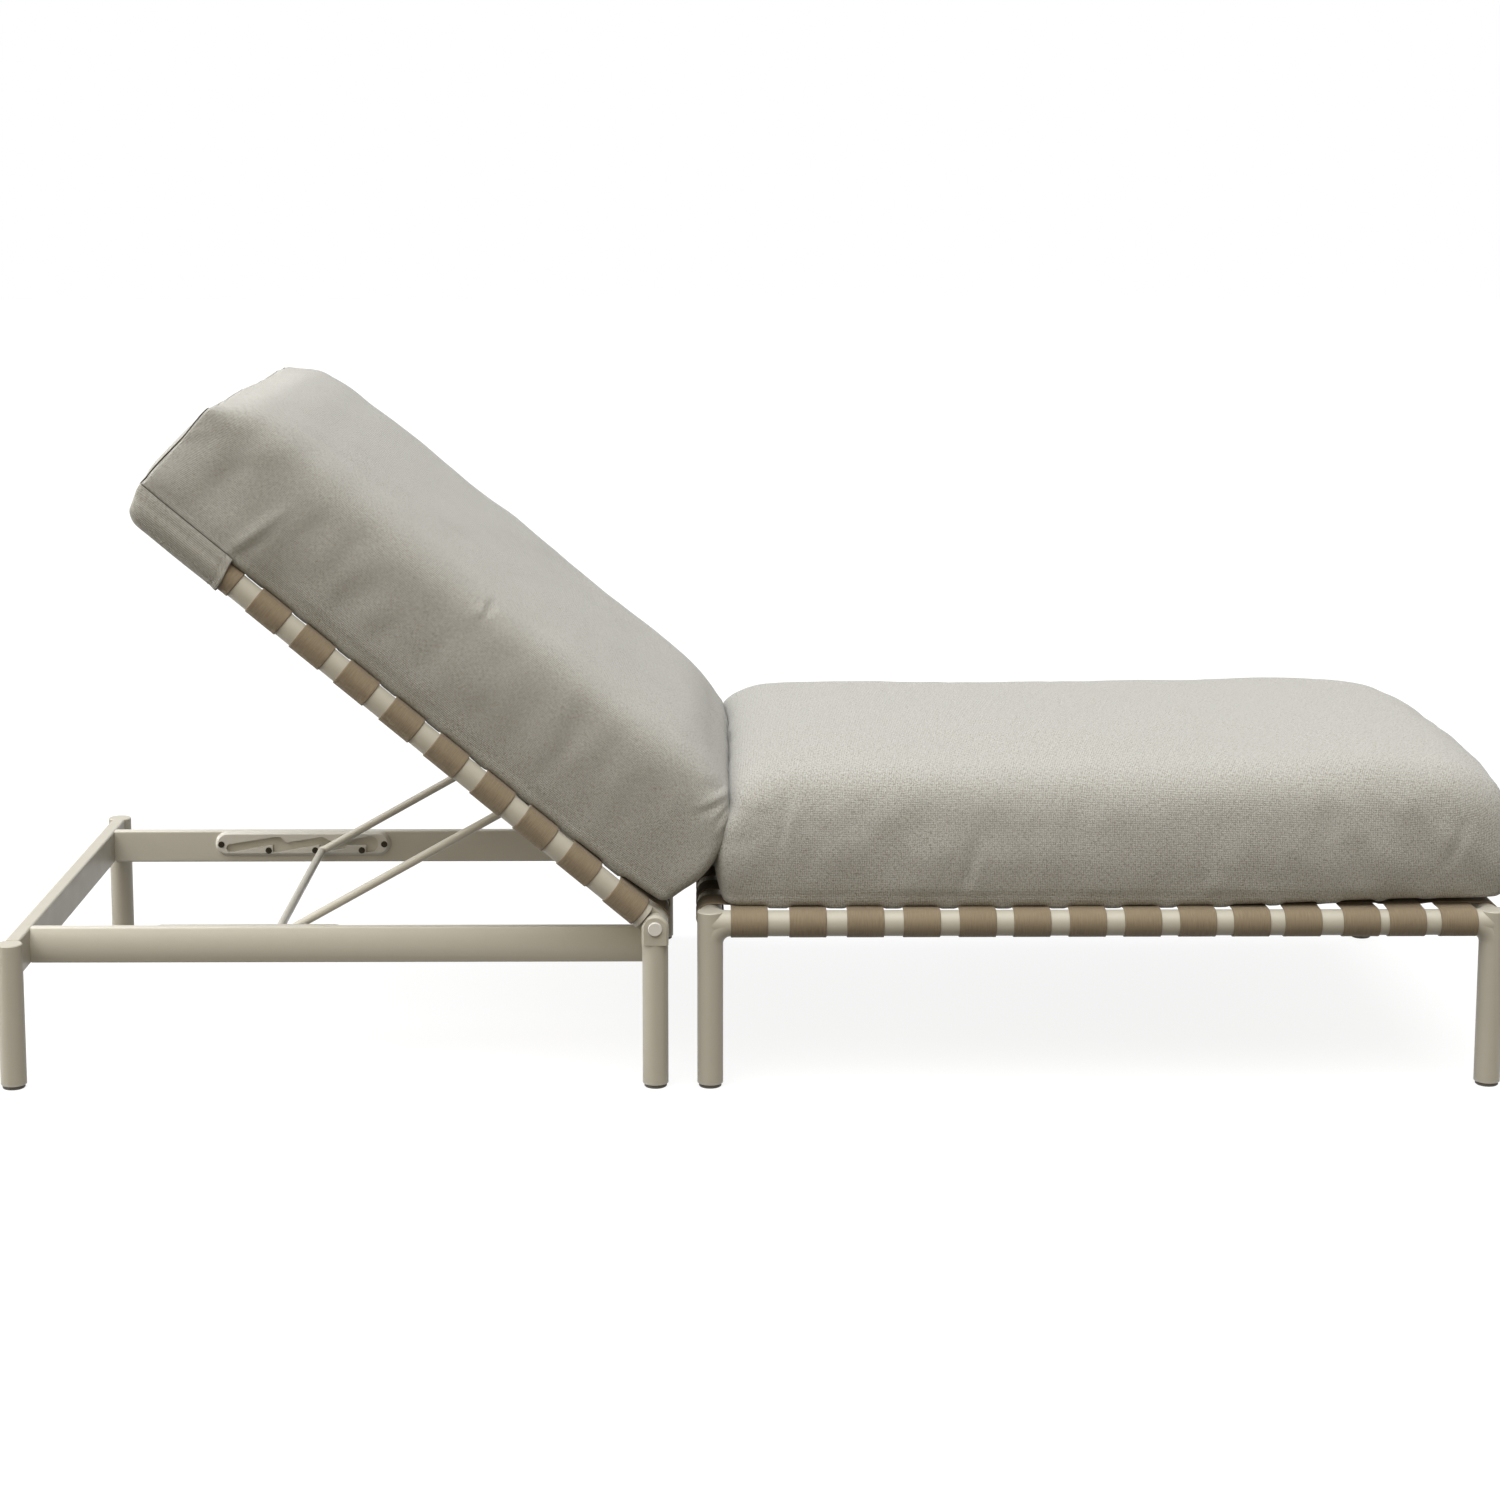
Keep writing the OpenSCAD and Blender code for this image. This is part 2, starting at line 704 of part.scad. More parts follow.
function leg_points() = [for (x = [head_x, hinge_x, near_x, foot_x],
    s = [-1, 1]) [x, s * leg_y]];

module glide_rings() {
    color(plate_col) for (p = leg_points()) translate([p[0], p[1], pad_h])
        difference() {
            union() {
                cylinder(r1 = tube_r - 0.6, r2 = tube_r, h = 0.6);
                translate([0, 0, 0.6]) cylinder(r = tube_r, h = ring_h - 0.6);
            }
            translate([0, 0, -1]) cylinder(r = 9, h = ring_h + 2);
        }
}

// Pad with a stem that plugs into the leg
module glide_pads() {
    color(pad_col) for (p = leg_points()) translate([p[0], p[1], 0]) {
        cylinder(r1 = tube_r - 3.2, r2 = tube_r - 2.2, h = 1);
        translate([0, 0, 1]) cylinder(r = tube_r - 2.2, h = pad_h - 1);
        translate([0, 0, pad_h]) cylinder(r = 9, h = ring_h);
        translate([0, 0, leg_z0]) cylinder(r = spigot_r, h = 16);
    }
}

base_leg_head_right();
base_leg_head_left();
base_leg_hinge_right();
base_leg_hinge_left();
base_leg_caps();
head_cross_rail();
hinge_cross_rail();
side_rail_right();
side_rail_left();
rack_plate_right();
rack_plate_left();
rack_screws();
hinge_knuckle_right();
hinge_knuckle_left();
hinge_bushes();
hinge_bolt_right();
hinge_bolt_left();
hinge_washers();
back_corner_hinge_right();
back_corner_hinge_left();
back_corner_head_right();
back_corner_head_left();
back_side_tube_right();
back_side_tube_left();
back_head_tube();
back_foot_tube();
back_cross_tube();
prop_lugs();
prop_pivot_pins();
prop_arm_right();
prop_arm_left();
prop_crossbar();
back_straps_across();
back_straps_along();
back_cushion();
pocket_underside();
pocket_end();
pocket_sides();
seat_corner_near_right();
seat_corner_near_left();
seat_corner_foot_right();
seat_corner_foot_left();
seat_leg_near_right();
seat_leg_near_left();
seat_leg_foot_right();
seat_leg_foot_left();
seat_side_tube_right();
seat_side_tube_left();
seat_end_tube_near();
seat_end_tube_foot();
seat_straps_across();
seat_straps_along();
seat_cushion();
glide_rings();
glide_pads();
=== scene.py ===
import json
import math

import bpy
import numpy as np
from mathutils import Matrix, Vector


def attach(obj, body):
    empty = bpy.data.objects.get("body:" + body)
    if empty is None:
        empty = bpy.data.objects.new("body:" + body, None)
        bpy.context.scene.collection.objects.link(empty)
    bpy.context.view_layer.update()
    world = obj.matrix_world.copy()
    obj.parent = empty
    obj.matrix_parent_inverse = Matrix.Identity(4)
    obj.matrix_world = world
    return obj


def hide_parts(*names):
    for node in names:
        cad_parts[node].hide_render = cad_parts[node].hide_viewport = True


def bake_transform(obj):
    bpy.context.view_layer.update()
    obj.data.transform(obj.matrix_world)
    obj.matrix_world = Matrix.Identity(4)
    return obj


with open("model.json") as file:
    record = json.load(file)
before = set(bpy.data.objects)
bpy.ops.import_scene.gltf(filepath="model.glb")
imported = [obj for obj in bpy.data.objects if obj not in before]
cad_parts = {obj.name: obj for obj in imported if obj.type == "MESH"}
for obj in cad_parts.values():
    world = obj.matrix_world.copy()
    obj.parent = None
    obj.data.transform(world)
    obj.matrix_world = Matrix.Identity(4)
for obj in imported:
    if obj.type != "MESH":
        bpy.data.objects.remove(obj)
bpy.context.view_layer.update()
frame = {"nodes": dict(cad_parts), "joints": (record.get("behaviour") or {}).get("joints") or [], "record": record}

NODES = frame["nodes"]
D = bpy.data
scene = bpy.context.scene

# ---------------------------------------------------------------- the frame
# Hinge axis read from the record's joints; lounger back angle and tube lines given as constants.
HX, HZ = None, None
for j in frame["joints"]:
    if j["name"] == "back_recline":
        HX, HZ = j["pos_m"][0], j["pos_m"][2]
    if j["name"] == "prop_swing":
        PX, PZ = j["pos_m"][0], j["pos_m"][2]
REST = math.radians(40)
CR, SR = math.cos(REST), math.sin(REST)
TUBE = 0.0175
LEG_Y = 0.375
NEAR_X = -0.057
FOOT_X = 0.9985
SEAT_Z = 0.226
BACK_L = 0.869


def back_to_world(a, y, n):
    """Back coordinates (towards the head, across, out of the back) to the row frame."""
    return (HX - a * CR + n * SR, y, HZ + a * SR + n * CR)


def back_world_arrays(a, y, n):
    return np.stack([HX - a * CR + n * SR, y, HZ + a * SR + n * CR], -1)


# ------------------------------------------------------------------- camera
cam_data = D.cameras.new("camera")
cam = D.objects.new("camera", cam_data)
scene.collection.objects.link(cam)
cam.location = (-0.07274, -4.13735, 1.24085)
cam.rotation_euler = (math.pi / 2 - 0.1411, 0, -0.0077)
cam_data.lens = 68.96
cam_data.sensor_width = 36
cam_data.shift_x = 0.02
cam_data.shift_y = -0.12
cam_data.clip_end = 60
scene.camera = cam

# ------------------------------------------------------------------- lights
scene.view_settings.view_transform = "Standard"
world = D.worlds.new("studio")
scene.world = world
world.use_nodes = True
wt = world.node_tree
wt.nodes.clear()


def w_node(kind, **values):
    node = wt.nodes.new("ShaderNode" + kind)
    for k, v in values.items():
        setattr(node, k, v)
    return node


def w_range(value, a, b, c, d):
    node = w_node("MapRange")
    wt.links.new(value, node.inputs["Value"])
    for k, v in zip(("From Min", "From Max", "To Min", "To Max"), (a, b, c, d)):
        node.inputs[k].default_value = v
    return node.outputs[0]


# White backdrop all round; as a light, the room is bright behind the object and above it,
# and dimmer and warmer in front and below
w_out = w_node("OutputWorld")
w_room = w_node("Background")
w_white = w_node("Background")
w_white.inputs["Color"].default_value = (1.0, 1.0, 1.0, 1.0)
w_pick = w_node("MixShader")
w_path = w_node("LightPath")
w_sep = w_node("SeparateXYZ")
w_tc = w_node("TexCoord")
w_ramp = w_node("ValToRGB")
w_ramp.color_ramp.elements[0].color = (0.490, 0.410, 0.276, 1)
w_ramp.color_ramp.elements[1].color = (0.785, 0.80, 0.82, 1)
wt.links.new(w_tc.outputs["Generated"], w_sep.inputs[0])
wt.links.new(w_range(w_sep.outputs["Y"], -0.8, 0.5, 0.0, 1.0), w_ramp.inputs[0])
wt.links.new(w_ramp.outputs[0], w_room.inputs["Color"])
wt.links.new(w_range(w_sep.outputs["Z"], -0.28, 0.27, 0.19, 1.0), w_room.inputs["Strength"])
wt.links.new(w_path.outputs["Is Camera Ray"], w_pick.inputs[0])
wt.links.new(w_room.outputs[0], w_pick.inputs[1])
wt.links.new(w_white.outputs[0], w_pick.inputs[2])
wt.links.new(w_pick.outputs[0], w_out.inputs[0])


def area_light(name, loc, target, size, power, color=(1, 1, 1)):
    ld = D.lights.new(name, "AREA")
    ld.shape = "RECTANGLE"
    ld.size, ld.size_y = size
    ld.energy = power
    ld.color = color
    ob = D.objects.new(name, ld)
    scene.collection.objects.link(ob)
    ob.location = loc
    ob.rotation_euler = (Vector(target) - Vector(loc)).to_track_quat("-Z", "Y").to_euler()
    return ob


sun_data = D.lights.new("overhead_softbox", "SUN")
sun_data.energy = 4.08
sun_data.angle = math.radians(70)
sun_data.color = (0.955, 0.977, 1.0)
sun = D.objects.new("overhead_softbox", sun_data)
scene.collection.objects.link(sun)
sun.rotation_euler = (math.radians(13), math.radians(-10), 0)
area_light("fill_front", (-1.6, -4.6, 2.6), (-0.1, 0, 0.3), (2.4, 1.6), 27.5, (1.0, 0.93, 0.775))
side = area_light("side_left", (-4.3, -0.15, 1.30), (-0.74, -0.05, 0.80), (0.9, 1.3), 8, (1.0, 0.985, 0.95))
side.data.spread = math.radians(45)

floor_me = D.meshes.new("floor")
floor_me.from_pydata(
    [(-14, -9, 0), (14, -9, 0), (14, 22, 0), (-14, 22, 0)], [], [(0, 1, 2, 3)])
floor = D.objects.new("floor", floor_me)
scene.collection.objects.link(floor)
floor.visible_diffuse = False       # its bounce light is the room's, so it stays even


# ---------------------------------------------------------------- materials
class Mat:
    """A small builder for procedural node materials."""

    def __init__(self, name):
        self.m = D.materials.new(name)
        self.m.use_nodes = True
        self.t = self.m.node_tree
        self.t.nodes.clear()
        self.out = self.t.nodes.new("ShaderNodeOutputMaterial")
        self.b = self.t.nodes.new("ShaderNodeBsdfPrincipled")
        self.t.links.new(self.b.outputs[0], self.out.inputs[0])

    def n(self, kind, **values):
        node = self.t.nodes.new("ShaderNode" + kind)
        for k, v in values.items():
            if hasattr(node, k) and k not in ("inputs",):
                setattr(node, k, v)
        return node

    def put(self, value, socket):
        if isinstance(value, (int, float)):
            socket.default_value = value
        elif isinstance(value, (tuple, list)):
            socket.default_value = (*value, 1.0) if len(value) == 3 and socket.type == "RGBA" else value
        else:
            self.t.links.new(value, socket)

    def math(self, op, a, b=0.0, c=0.0, clamp=False):
        node = self.n("Math", operation=op, use_clamp=clamp)
        self.put(a, node.inputs[0])
        self.put(b, node.inputs[1])
        self.put(c, node.inputs[2])
        return node.outputs[0]

    def coord(self, kind="Object"):
        return self.n("TexCoord").outputs[kind]

    def mapped(self, vec, scale):
        node = self.n("Mapping")
        self.put(vec, node.inputs["Vector"])
        node.inputs["Scale"].default_value = scale
        return node.outputs[0]

    def noise(self, vec, scale, detail=2.0, rough=0.5, distortion=0.0):
        node = self.n("TexNoise")
        self.put(vec, node.inputs["Vector"])
        node.inputs["Scale"].default_value = scale
        node.inputs["Detail"].default_value = detail
        node.inputs["Roughness"].default_value = rough
        node.inputs["Distortion"].default_value = distortion
        return node.outputs[0]

    def ramp(self, fac, stops):
        node = self.n("ValToRGB")
        self.put(fac, node.inputs[0])
        e = node.color_ramp.elements
        while len(e) < len(stops):
            e.new(0.5)
        for k, (p, c) in enumerate(stops):
            e[k].position = p
            e[k].color = (*c, 1.0) if len(c) == 3 else c
        return node.outputs[0]

    def mix(self, fac, a, b, blend="MIX"):
        node = self.n("MixRGB", blend_type=blend)
        self.put(fac, node.inputs[0])
        self.put(a, node.inputs[1])
        self.put(b, node.inputs[2])
        return node.outputs[0]

    def rng(self, value, a, b, c, d):
        node = self.n("MapRange")
        self.put(value, node.inputs["Value"])
        for k, v in zip(("From Min", "From Max", "To Min", "To Max"), (a, b, c, d)):
            node.inputs[k].default_value = v
        return node.outputs[0]

    def bump(self, height, strength, distance, normal=None):
        node = self.n("Bump")
        self.put(height, node.inputs["Height"])
        node.inputs["Strength"].default_value = strength
        node.inputs["Distance"].default_value = distance
        if normal is not None:
            self.put(normal, node.inputs["Normal"])
        return node.outputs[0]

    def done(self, color=None, rough=None, normal=None, **fixed):
        if color is not None:
            self.put(color, self.b.inputs["Base Color"])
        if rough is not None:
            self.put(rough, self.b.inputs["Roughness"])
        if normal is not None:
            self.put(normal, self.b.inputs["Normal"])
        for k, v in fixed.items():
            self.b.inputs[k.replace("_", " ")].default_value = v
        return self.m


def powder_coat(name, base, scuff, rough=0.5):
    """Fine-texture powder coat: orange peel, faint mottling and rubbed spots."""
    k = Mat(name)
    p = k.coord()
    broad = k.noise(p, 3.2, 3.0, 0.55)
    mid = k.noise(p, 42.0, 3.0, 0.6)
    fine = k.noise(p, 900.0, 2.0, 0.6)
    col = k.mix(k.rng(broad, 0.3, 0.7, 0.0, 0.28), base, tuple(c * 0.9 for c in base))
    col = k.mix(k.rng(mid, 0.35, 0.75, 0.0, 0.2), col, tuple(min(1, c * 1.09) for c in base))
    rub = k.math("MULTIPLY", k.rng(k.noise(p, 17.0, 5.0, 0.7), 0.66, 0.76, 0.0, 1.0),
                 k.rng(fine, 0.45, 0.6, 0.0, 1.0))
    col = k.mix(k.math("MULTIPLY", rub, 0.3), col, scuff)
    peel = k.bump(k.noise(p, 520.0, 2.0, 0.5), 0.16, 0.0004)
    grain = k.bump(fine, 0.2, 0.00025, peel)
    r = k.rng(k.noise(p, 26.0, 4.0, 0.6), 0.25, 0.75, rough - 0.07, rough + 0.09)
    return k.done(col, r, grain, Specular_IOR_Level=0.42)


def smooth_plastic(name, base, rough, depth=0.00015):
    k = Mat(name)
    p = k.coord()
    tone = k.noise(p, 60.0, 3.0, 0.6)
    col = k.mix(k.rng(tone, 0.3, 0.75, 0.0, 0.35), base, tuple(c * 0.84 for c in base))
    grain = k.bump(k.noise(p, 1400.0, 2.0, 0.55), 0.25, depth)
    r = k.rng(k.noise(p, 140.0, 4.0, 0.6), 0.25, 0.75, rough - 0.06, rough + 0.1)
    return k.done(col, r, grain, Specular_IOR_Level=0.5)


def metal(name, base, rough, scratches=True):
    k = Mat(name)
    p = k.coord()
    tone = k.noise(p, 90.0, 3.0, 0.6)
    col = k.mix(k.rng(tone, 0.3, 0.75, 0.0, 0.4), base, tuple(c * 0.78 for c in base))
    streak = k.noise(k.mapped(p, (1.0, 30.0, 1.0)), 300.0, 3.0, 0.6)
    nrm = k.bump(streak, 0.15, 0.0001)
    r = k.rng(streak, 0.25, 0.75, rough - 0.08, rough + 0.12)
    return k.done(col, r, nrm, Metallic=1.0)


def canvas(name, light, dark, pitch=0.0024):
    """Outdoor canvas: plain weave of melange yarn, from the panel's own thread directions."""
    k = Mat(name)
    uv = k.n("UVMap", uv_map="thread").outputs[0]
    sep = k.n("SeparateXYZ")
    k.put(uv, sep.inputs[0])
    u, v = sep.outputs[0], sep.outputs[1]
    p = k.coord()
    # Each yarn's own tone, and slubs along it
    warp = k.noise(k.mapped(uv, (230.0, 760.0, 1.0)), 1.0, 3.0, 0.62)
    weft = k.noise(k.mapped(uv, (760.0, 230.0, 1.0)), 1.0, 3.0, 0.62)
    su = k.math("SINE", k.math("MULTIPLY", u, math.pi / pitch))
    sv = k.math("SINE", k.math("MULTIPLY", v, math.pi / pitch))
    over = k.math("MULTIPLY", su, sv)
    pick = k.rng(over, -0.3, 0.3, 0.0, 1.0)
    yarn = k.n("Mix", data_type="FLOAT")
    k.put(pick, yarn.inputs[0])
    k.put(warp, yarn.inputs[2])
    k.put(weft, yarn.inputs[3])
    yarn = yarn.outputs[0]
    fleck = k.noise(p, 700.0, 2.0, 0.7)
    tone = k.math("ADD", k.math("MULTIPLY", yarn, 0.70), k.math("MULTIPLY", fleck, 0.22))
    tone = k.math("ADD", tone, k.math("MULTIPLY", k.math("ABSOLUTE", over), 0.10))
    col = k.ramp(tone, [(0.395, dark), (0.47, tuple(0.35 * a + 0.65 * b for a, b in zip(dark, light))),
                        (0.525, light), (0.62, tuple(min(1, c * 1.18) for c in light))])
    worn = k.noise(p, 5.0, 3.0, 0.55)
    col = k.mix(k.rng(worn, 0.3, 0.7, 0.0, 0.16), col, tuple(c * 0.88 for c in light))
    ridge = k.math("ABSOLUTE", over)
    height = k.math("ADD", k.math("MULTIPLY", ridge, 0.8), k.math("MULTIPLY", yarn, 0.75))
    soft = k.bump(k.noise(p, 90.0, 3.0, 0.55), 0.10, 0.0014)
    nrm = k.bump(height, 0.68, 0.0008, soft)
    r = k.rng(yarn, 0.3, 0.7, 0.96, 0.84)
    return k.done(col, r, nrm, Specular_IOR_Level=0.2, Sheen_Weight=0.12, Sheen_Roughness=0.5)


def belt(name, light, dark, pitch=0.0021):
    """Woven belt: fine ribs along its length, crossed by picks."""
    k = Mat(name)
    uv = k.n("UVMap", uv_map="thread").outputs[0]
    sep = k.n("SeparateXYZ")
    k.put(uv, sep.inputs[0])
    u, v = sep.outputs[0], sep.outputs[1]
    p = k.coord()
    # Ribs run along u; neighbouring ribs step by half a pick
    rib = k.math("SINE", k.math("MULTIPLY", v, 2 * math.pi / pitch))
    shift = k.math("MULTIPLY", k.math("SIGN", rib), 0.25)
    pick = k.math("SINE", k.math("MULTIPLY", k.math("ADD", k.math("MULTIPLY", u, 1 / (pitch * 1.25)), shift),
                                 2 * math.pi))
    knuckle = k.math("MULTIPLY", k.math("ABSOLUTE", rib), k.rng(pick, -1.0, 1.0, 0.45, 1.0))
    yarn = k.noise(k.mapped(uv, (60.0, 900.0, 1.0)), 1.0, 3.0, 0.6)
    tone = k.math("ADD", k.math("MULTIPLY", yarn, 0.7), k.math("MULTIPLY", knuckle, 0.3))
    col = k.ramp(tone, [(0.28, dark), (0.5, tuple(0.5 * (a + b) for a, b in zip(dark, light))), (0.72, light)])
    sun = k.noise(p, 9.0, 3.0, 0.5)
    col = k.mix(k.rng(sun, 0.3, 0.7, 0.0, 0.25), col, tuple(min(1, c * 1.12) for c in light))
    nrm = k.bump(k.math("ADD", knuckle, k.math("MULTIPLY", yarn, 0.5)), 0.55, 0.0005)
    r = k.rng(yarn, 0.3, 0.7, 0.78, 0.62)
    return k.done(col, r, nrm, Specular_IOR_Level=0.35, Sheen_Weight=0.1, Sheen_Roughness=0.5)


COAT = (0.407, 0.382, 0.322)
CLOTH_L = (0.393, 0.387, 0.364)
CLOTH_D = (0.180, 0.163, 0.131)
M_COAT = powder_coat("powder_coat", COAT, (0.56, 0.53, 0.47), 0.43)
# side rails: a lighter copy of the same frame coat, painted light for the brighter faces the rails show
M_RAIL_PAINTED_LIGHT = powder_coat("powder_coat_rails_painted_light", (0.508, 0.484, 0.418), (0.60, 0.57, 0.51), 0.38)
# prop rods: a lighter copy of the same frame coat, painted brighter for the highlights the thin rods catch
M_ROD_PAINTED_LIGHT = powder_coat("powder_coat_rods_painted_light", (0.500, 0.478, 0.415), (0.62, 0.6, 0.56), 0.34)
M_BELT = belt("woven_belt", (0.247, 0.193, 0.124), (0.136, 0.102, 0.062))
M_CLOTH = canvas("melange_canvas", CLOTH_L, CLOTH_D)
# the pocket is the cushion's own canvas, painted darker as shade
M_POCKET_PAINTED_SHADE = canvas("pocket_canvas_painted_shade", tuple(a * b for a, b in zip(CLOTH_L, (0.87, 0.86, 0.84))),
                  tuple(a * b for a, b in zip(CLOTH_D, (0.86, 0.84, 0.80))))
M_THREAD = smooth_plastic("sewing_thread", (0.3, 0.28, 0.24), 0.7)
# near-black cords laid in the seams: painted shade of the seam grooves
M_SEAM_PAINTED_SHADE = smooth_plastic("seam_shadow_thread", (0.06, 0.052, 0.042), 0.9)
M_BELT_THREAD = smooth_plastic("belt_thread", (0.2, 0.15, 0.1), 0.65)
M_PLATE = smooth_plastic("rack_plate_plastic", (0.575, 0.553, 0.505), 0.42)
M_SCREW = metal("black_screw_steel", (0.034, 0.027, 0.019), 0.50)
M_CAP = smooth_plastic("bolt_cap_plastic", (0.62, 0.6, 0.57), 0.35)
M_BUSH = smooth_plastic("bush_plastic", (0.08, 0.08, 0.078), 0.5)
M_PAD = smooth_plastic("glide_rubber", (0.115, 0.105, 0.09), 0.7, 0.0004)
M_RING = smooth_plastic("glide_ring_plastic", (0.43, 0.41, 0.36), 0.42)
M_STEEL = metal("pivot_steel", (0.55, 0.54, 0.52), 0.34)

kf = Mat("floor_paint")
fp = kf.coord()
kf.done(kf.mix(kf.rng(kf.noise(fp, 0.8, 3.0), 0.3, 0.7, 0.0, 0.2), (0.16, 0.16, 0.16), (0.15, 0.15, 0.15)),
        0.9, kf.bump(kf.noise(fp, 300.0, 2.0), 0.05, 0.0005), Specular_IOR_Level=0.0,
        Emission_Color=(1.0, 1.0, 1.0, 1.0), Emission_Strength=0.87)
floor_me.materials.append(kf.m)

SLOT_MATERIAL = {"frame_coat": M_COAT, "webbing": M_BELT, "cushion_cloth": M_CLOTH,
                 "rack_plate": M_PLATE, "black_screws": M_SCREW, "bolt_cap": M_CAP,
                 "bush_plastic": M_BUSH, "glide_pad": M_PAD, "glide_ring": M_RING,
                 "pivot_steel": M_STEEL}
for part in frame["record"]["subparts"]:
    ob = NODES[part["node"]]
    m = SLOT_MATERIAL[part["material_slot"]]
    # the side rails take the lighter copy of the coat: painted light
    if part["node"].startswith("side_rail"):
        m = M_RAIL_PAINTED_LIGHT
    # the prop arms and crossbar take the lighter rod copy: painted highlight
    elif part["node"] in ("prop_arm_left", "prop_arm_right", "prop_crossbar"):
        m = M_ROD_PAINTED_LIGHT
    if not ob.material_slots:
        ob.data.materials.append(m)
    for s in ob.material_slots:
        s.material = m


# ----------------------------------------------------------------- builders
def new_object(name, verts, faces, mat, uvs=None, smooth=True):
    """Mesh object from vertex array and faces; uvs is one (u, v) per face corner, in metres."""
    me = D.meshes.new(name)
    me.from_pydata([tuple(map(float, v)) for v in verts], [], [tuple(map(int, f)) for f in faces])
    if uvs is not None:
        lay = me.uv_layers.new(name="thread")
        lay.data.foreach_set("uv", np.asarray(uvs, np.float32).reshape(-1))
    if smooth:
        me.polygons.foreach_set("use_smooth", np.ones(len(me.polygons), bool))
    me.materials.append(mat)
    me.update()
    ob = D.objects.new(name, me)
    scene.collection.objects.link(ob)
    return ob


def smoothstep(x, a, b):
    t = np.clip((np.asarray(x, float) - a) / (b - a), 0, 1)
    return t * t * (3 - 2 * t)


def fbm(p, scale, seed, octaves=3):
    """Seeded smooth noise at points p (n, 3), about -1 to 1: a sum of waves in all directions."""
    rng = np.random.RandomState(seed)
    out = np.zeros(len(p))
    amp, total = 1.0, 0.0
    for o in range(octaves):
        for _ in range(14):
            d = rng.normal(size=3)
            d *= scale * 2 ** o * rng.uniform(0.6, 1.4) * 3.2 / np.linalg.norm(d)
            out += amp * np.sin(p @ d + rng.uniform(0, 2 * math.pi))
        total += amp * amp * 7
        amp *= 0.5
    return out / math.sqrt(total) * 0.6


# ----------------------------------------------------------------- webbing
STRAP_W, STRAP_T = 0.050, 0.0015
PROFILE = [(-0.0250, 0.0), (-0.0248, 0.00052), (-0.0240, 0.00078), (-0.0222, 0.00082), (-0.0200, 0.00070),
           (-0.0120, 0.00073), (-0.0040, 0.00075), (0.0040, 0.00075), (0.0120, 0.00073), (0.0200, 0.00070),
           (0.0222, 0.00082), (0.0240, 0.00078), (0.0248, 0.00052), (0.0250, 0.0)]
PROFILE = PROFILE + [(u, -v) for u, v in PROFILE[-2:0:-1]]


class MeshPile:
    """Collects several strips or beads into one mesh."""

    def __init__(self):
        self.v, self.f, self.uv, self.base = [], [], [], 0

    def add(self, verts, faces, uvs):
        self.v.extend(verts)
        self.f.extend([tuple(i + self.base for i in f) for f in faces])
        self.uv.extend(uvs)
        self.base += len(verts)

    def strip(self, centres, normals, width_dir, u0=0.0, scale_w=None):
        """Sweep the belt's profile along centres; width_dir is the direction across it."""
        m, k = len(centres), len(PROFILE)
        verts, faces, uvs = [], [], []
        run = [0.0]
        for i in range(1, m):
            run.append(run[-1] + float(np.linalg.norm(centres[i] - centres[i - 1])))
        prof = np.array(PROFILE)
        for i in range(m):
            sw = 1.0 if scale_w is None else scale_w[i]
            for (w, h) in prof:
                verts.append(centres[i] + width_dir * w * sw + normals[i] * h)
        ring_v = [w for w, h in prof]
        arc = [0.0]
        for q in range(1, k + 1):
            a, b = prof[q - 1], prof[q % k]
            arc.append(arc[-1] + math.hypot(a[0] - b[0], a[1] - b[1]))
        for i in range(m - 1):
            for q in range(k):
                q2 = (q + 1) % k
                faces.append((i * k + q, i * k + q2, (i + 1) * k + q2, (i + 1) * k + q))
                uvs += [(u0 + run[i], arc[q]), (u0 + run[i], arc[q + 1]),
                        (u0 + run[i + 1], arc[q + 1]), (u0 + run[i + 1], arc[q])]
        # ends: a strip of quads between the top and bottom of the profile
        half = k // 2
        for i, flip in ((0, False), (m - 1, True)):
            for q in range(half):
                a, b = q, q + 1
                c, d = (k - q - 1) % k, (k - q) % k
                quad = [i * k + a, i * k + b, i * k + c, i * k + d]
                quad = list(dict.fromkeys(quad))
                if len(quad) < 3:
                    continue
                if not flip:
                    quad = quad[::-1]
                faces.append(tuple(quad))
                uvs += [(0.0, 0.001 * t) for t in range(len(quad))]
        self.add(verts, faces, uvs)

    def bead(self, p, q, r, up):
        """A short six-sided stitch from p to q, tapered at both ends."""
        p, q, up = np.array(p, float), np.array(q, float), np.array(up, float)
        d = q - p
        L = np.linalg.norm(d)
        d = d / L
        side = np.cross(d, up)
        side /= np.linalg.norm(side)
        up = np.cross(side, d)
        verts, faces, uvs = [], [], []
        stations = [(0.0, 0.25, -0.3), (0.18, 0.85, 0.0), (0.5, 1.0, 0.25), (0.82, 0.85, 0.0), (1.0, 0.25, -0.3)]
        for s, f, lift in stations:
            c = p + d * L * s + up * r * lift
            for t in range(6):
                an = 2 * math.pi * t / 6
                verts.append(c + side * math.cos(an) * r * f + up * math.sin(an) * r * f)
        for i in range(4):
            for t in range(6):
                t2 = (t + 1) % 6
                faces.append((i * 6 + t, (i + 1) * 6 + t, (i + 1) * 6 + t2, i * 6 + t2))
                uvs += [(i * 0.001, t * 0.0005)] * 4
        faces.append(tuple(range(6)))
        faces.append(tuple(range(24, 30))[::-1])
        uvs += [(0, 0)] * 12
        self.add(verts, faces, uvs)


def plateau(x, centres, values, half):
    """Value held within half of each centre, and eased between neighbours."""
    x = np.asarray(x, float)
    out = np.full_like(x, values[0])
    for i in range(len(centres) - 1):
        a, b = centres[i] + half, centres[i + 1] - half
        t = smoothstep(x, a, b)
        sel = x > centres[i]
        out = np.where(sel, values[i] * (1 - t) + values[i + 1] * t, out)
    return out


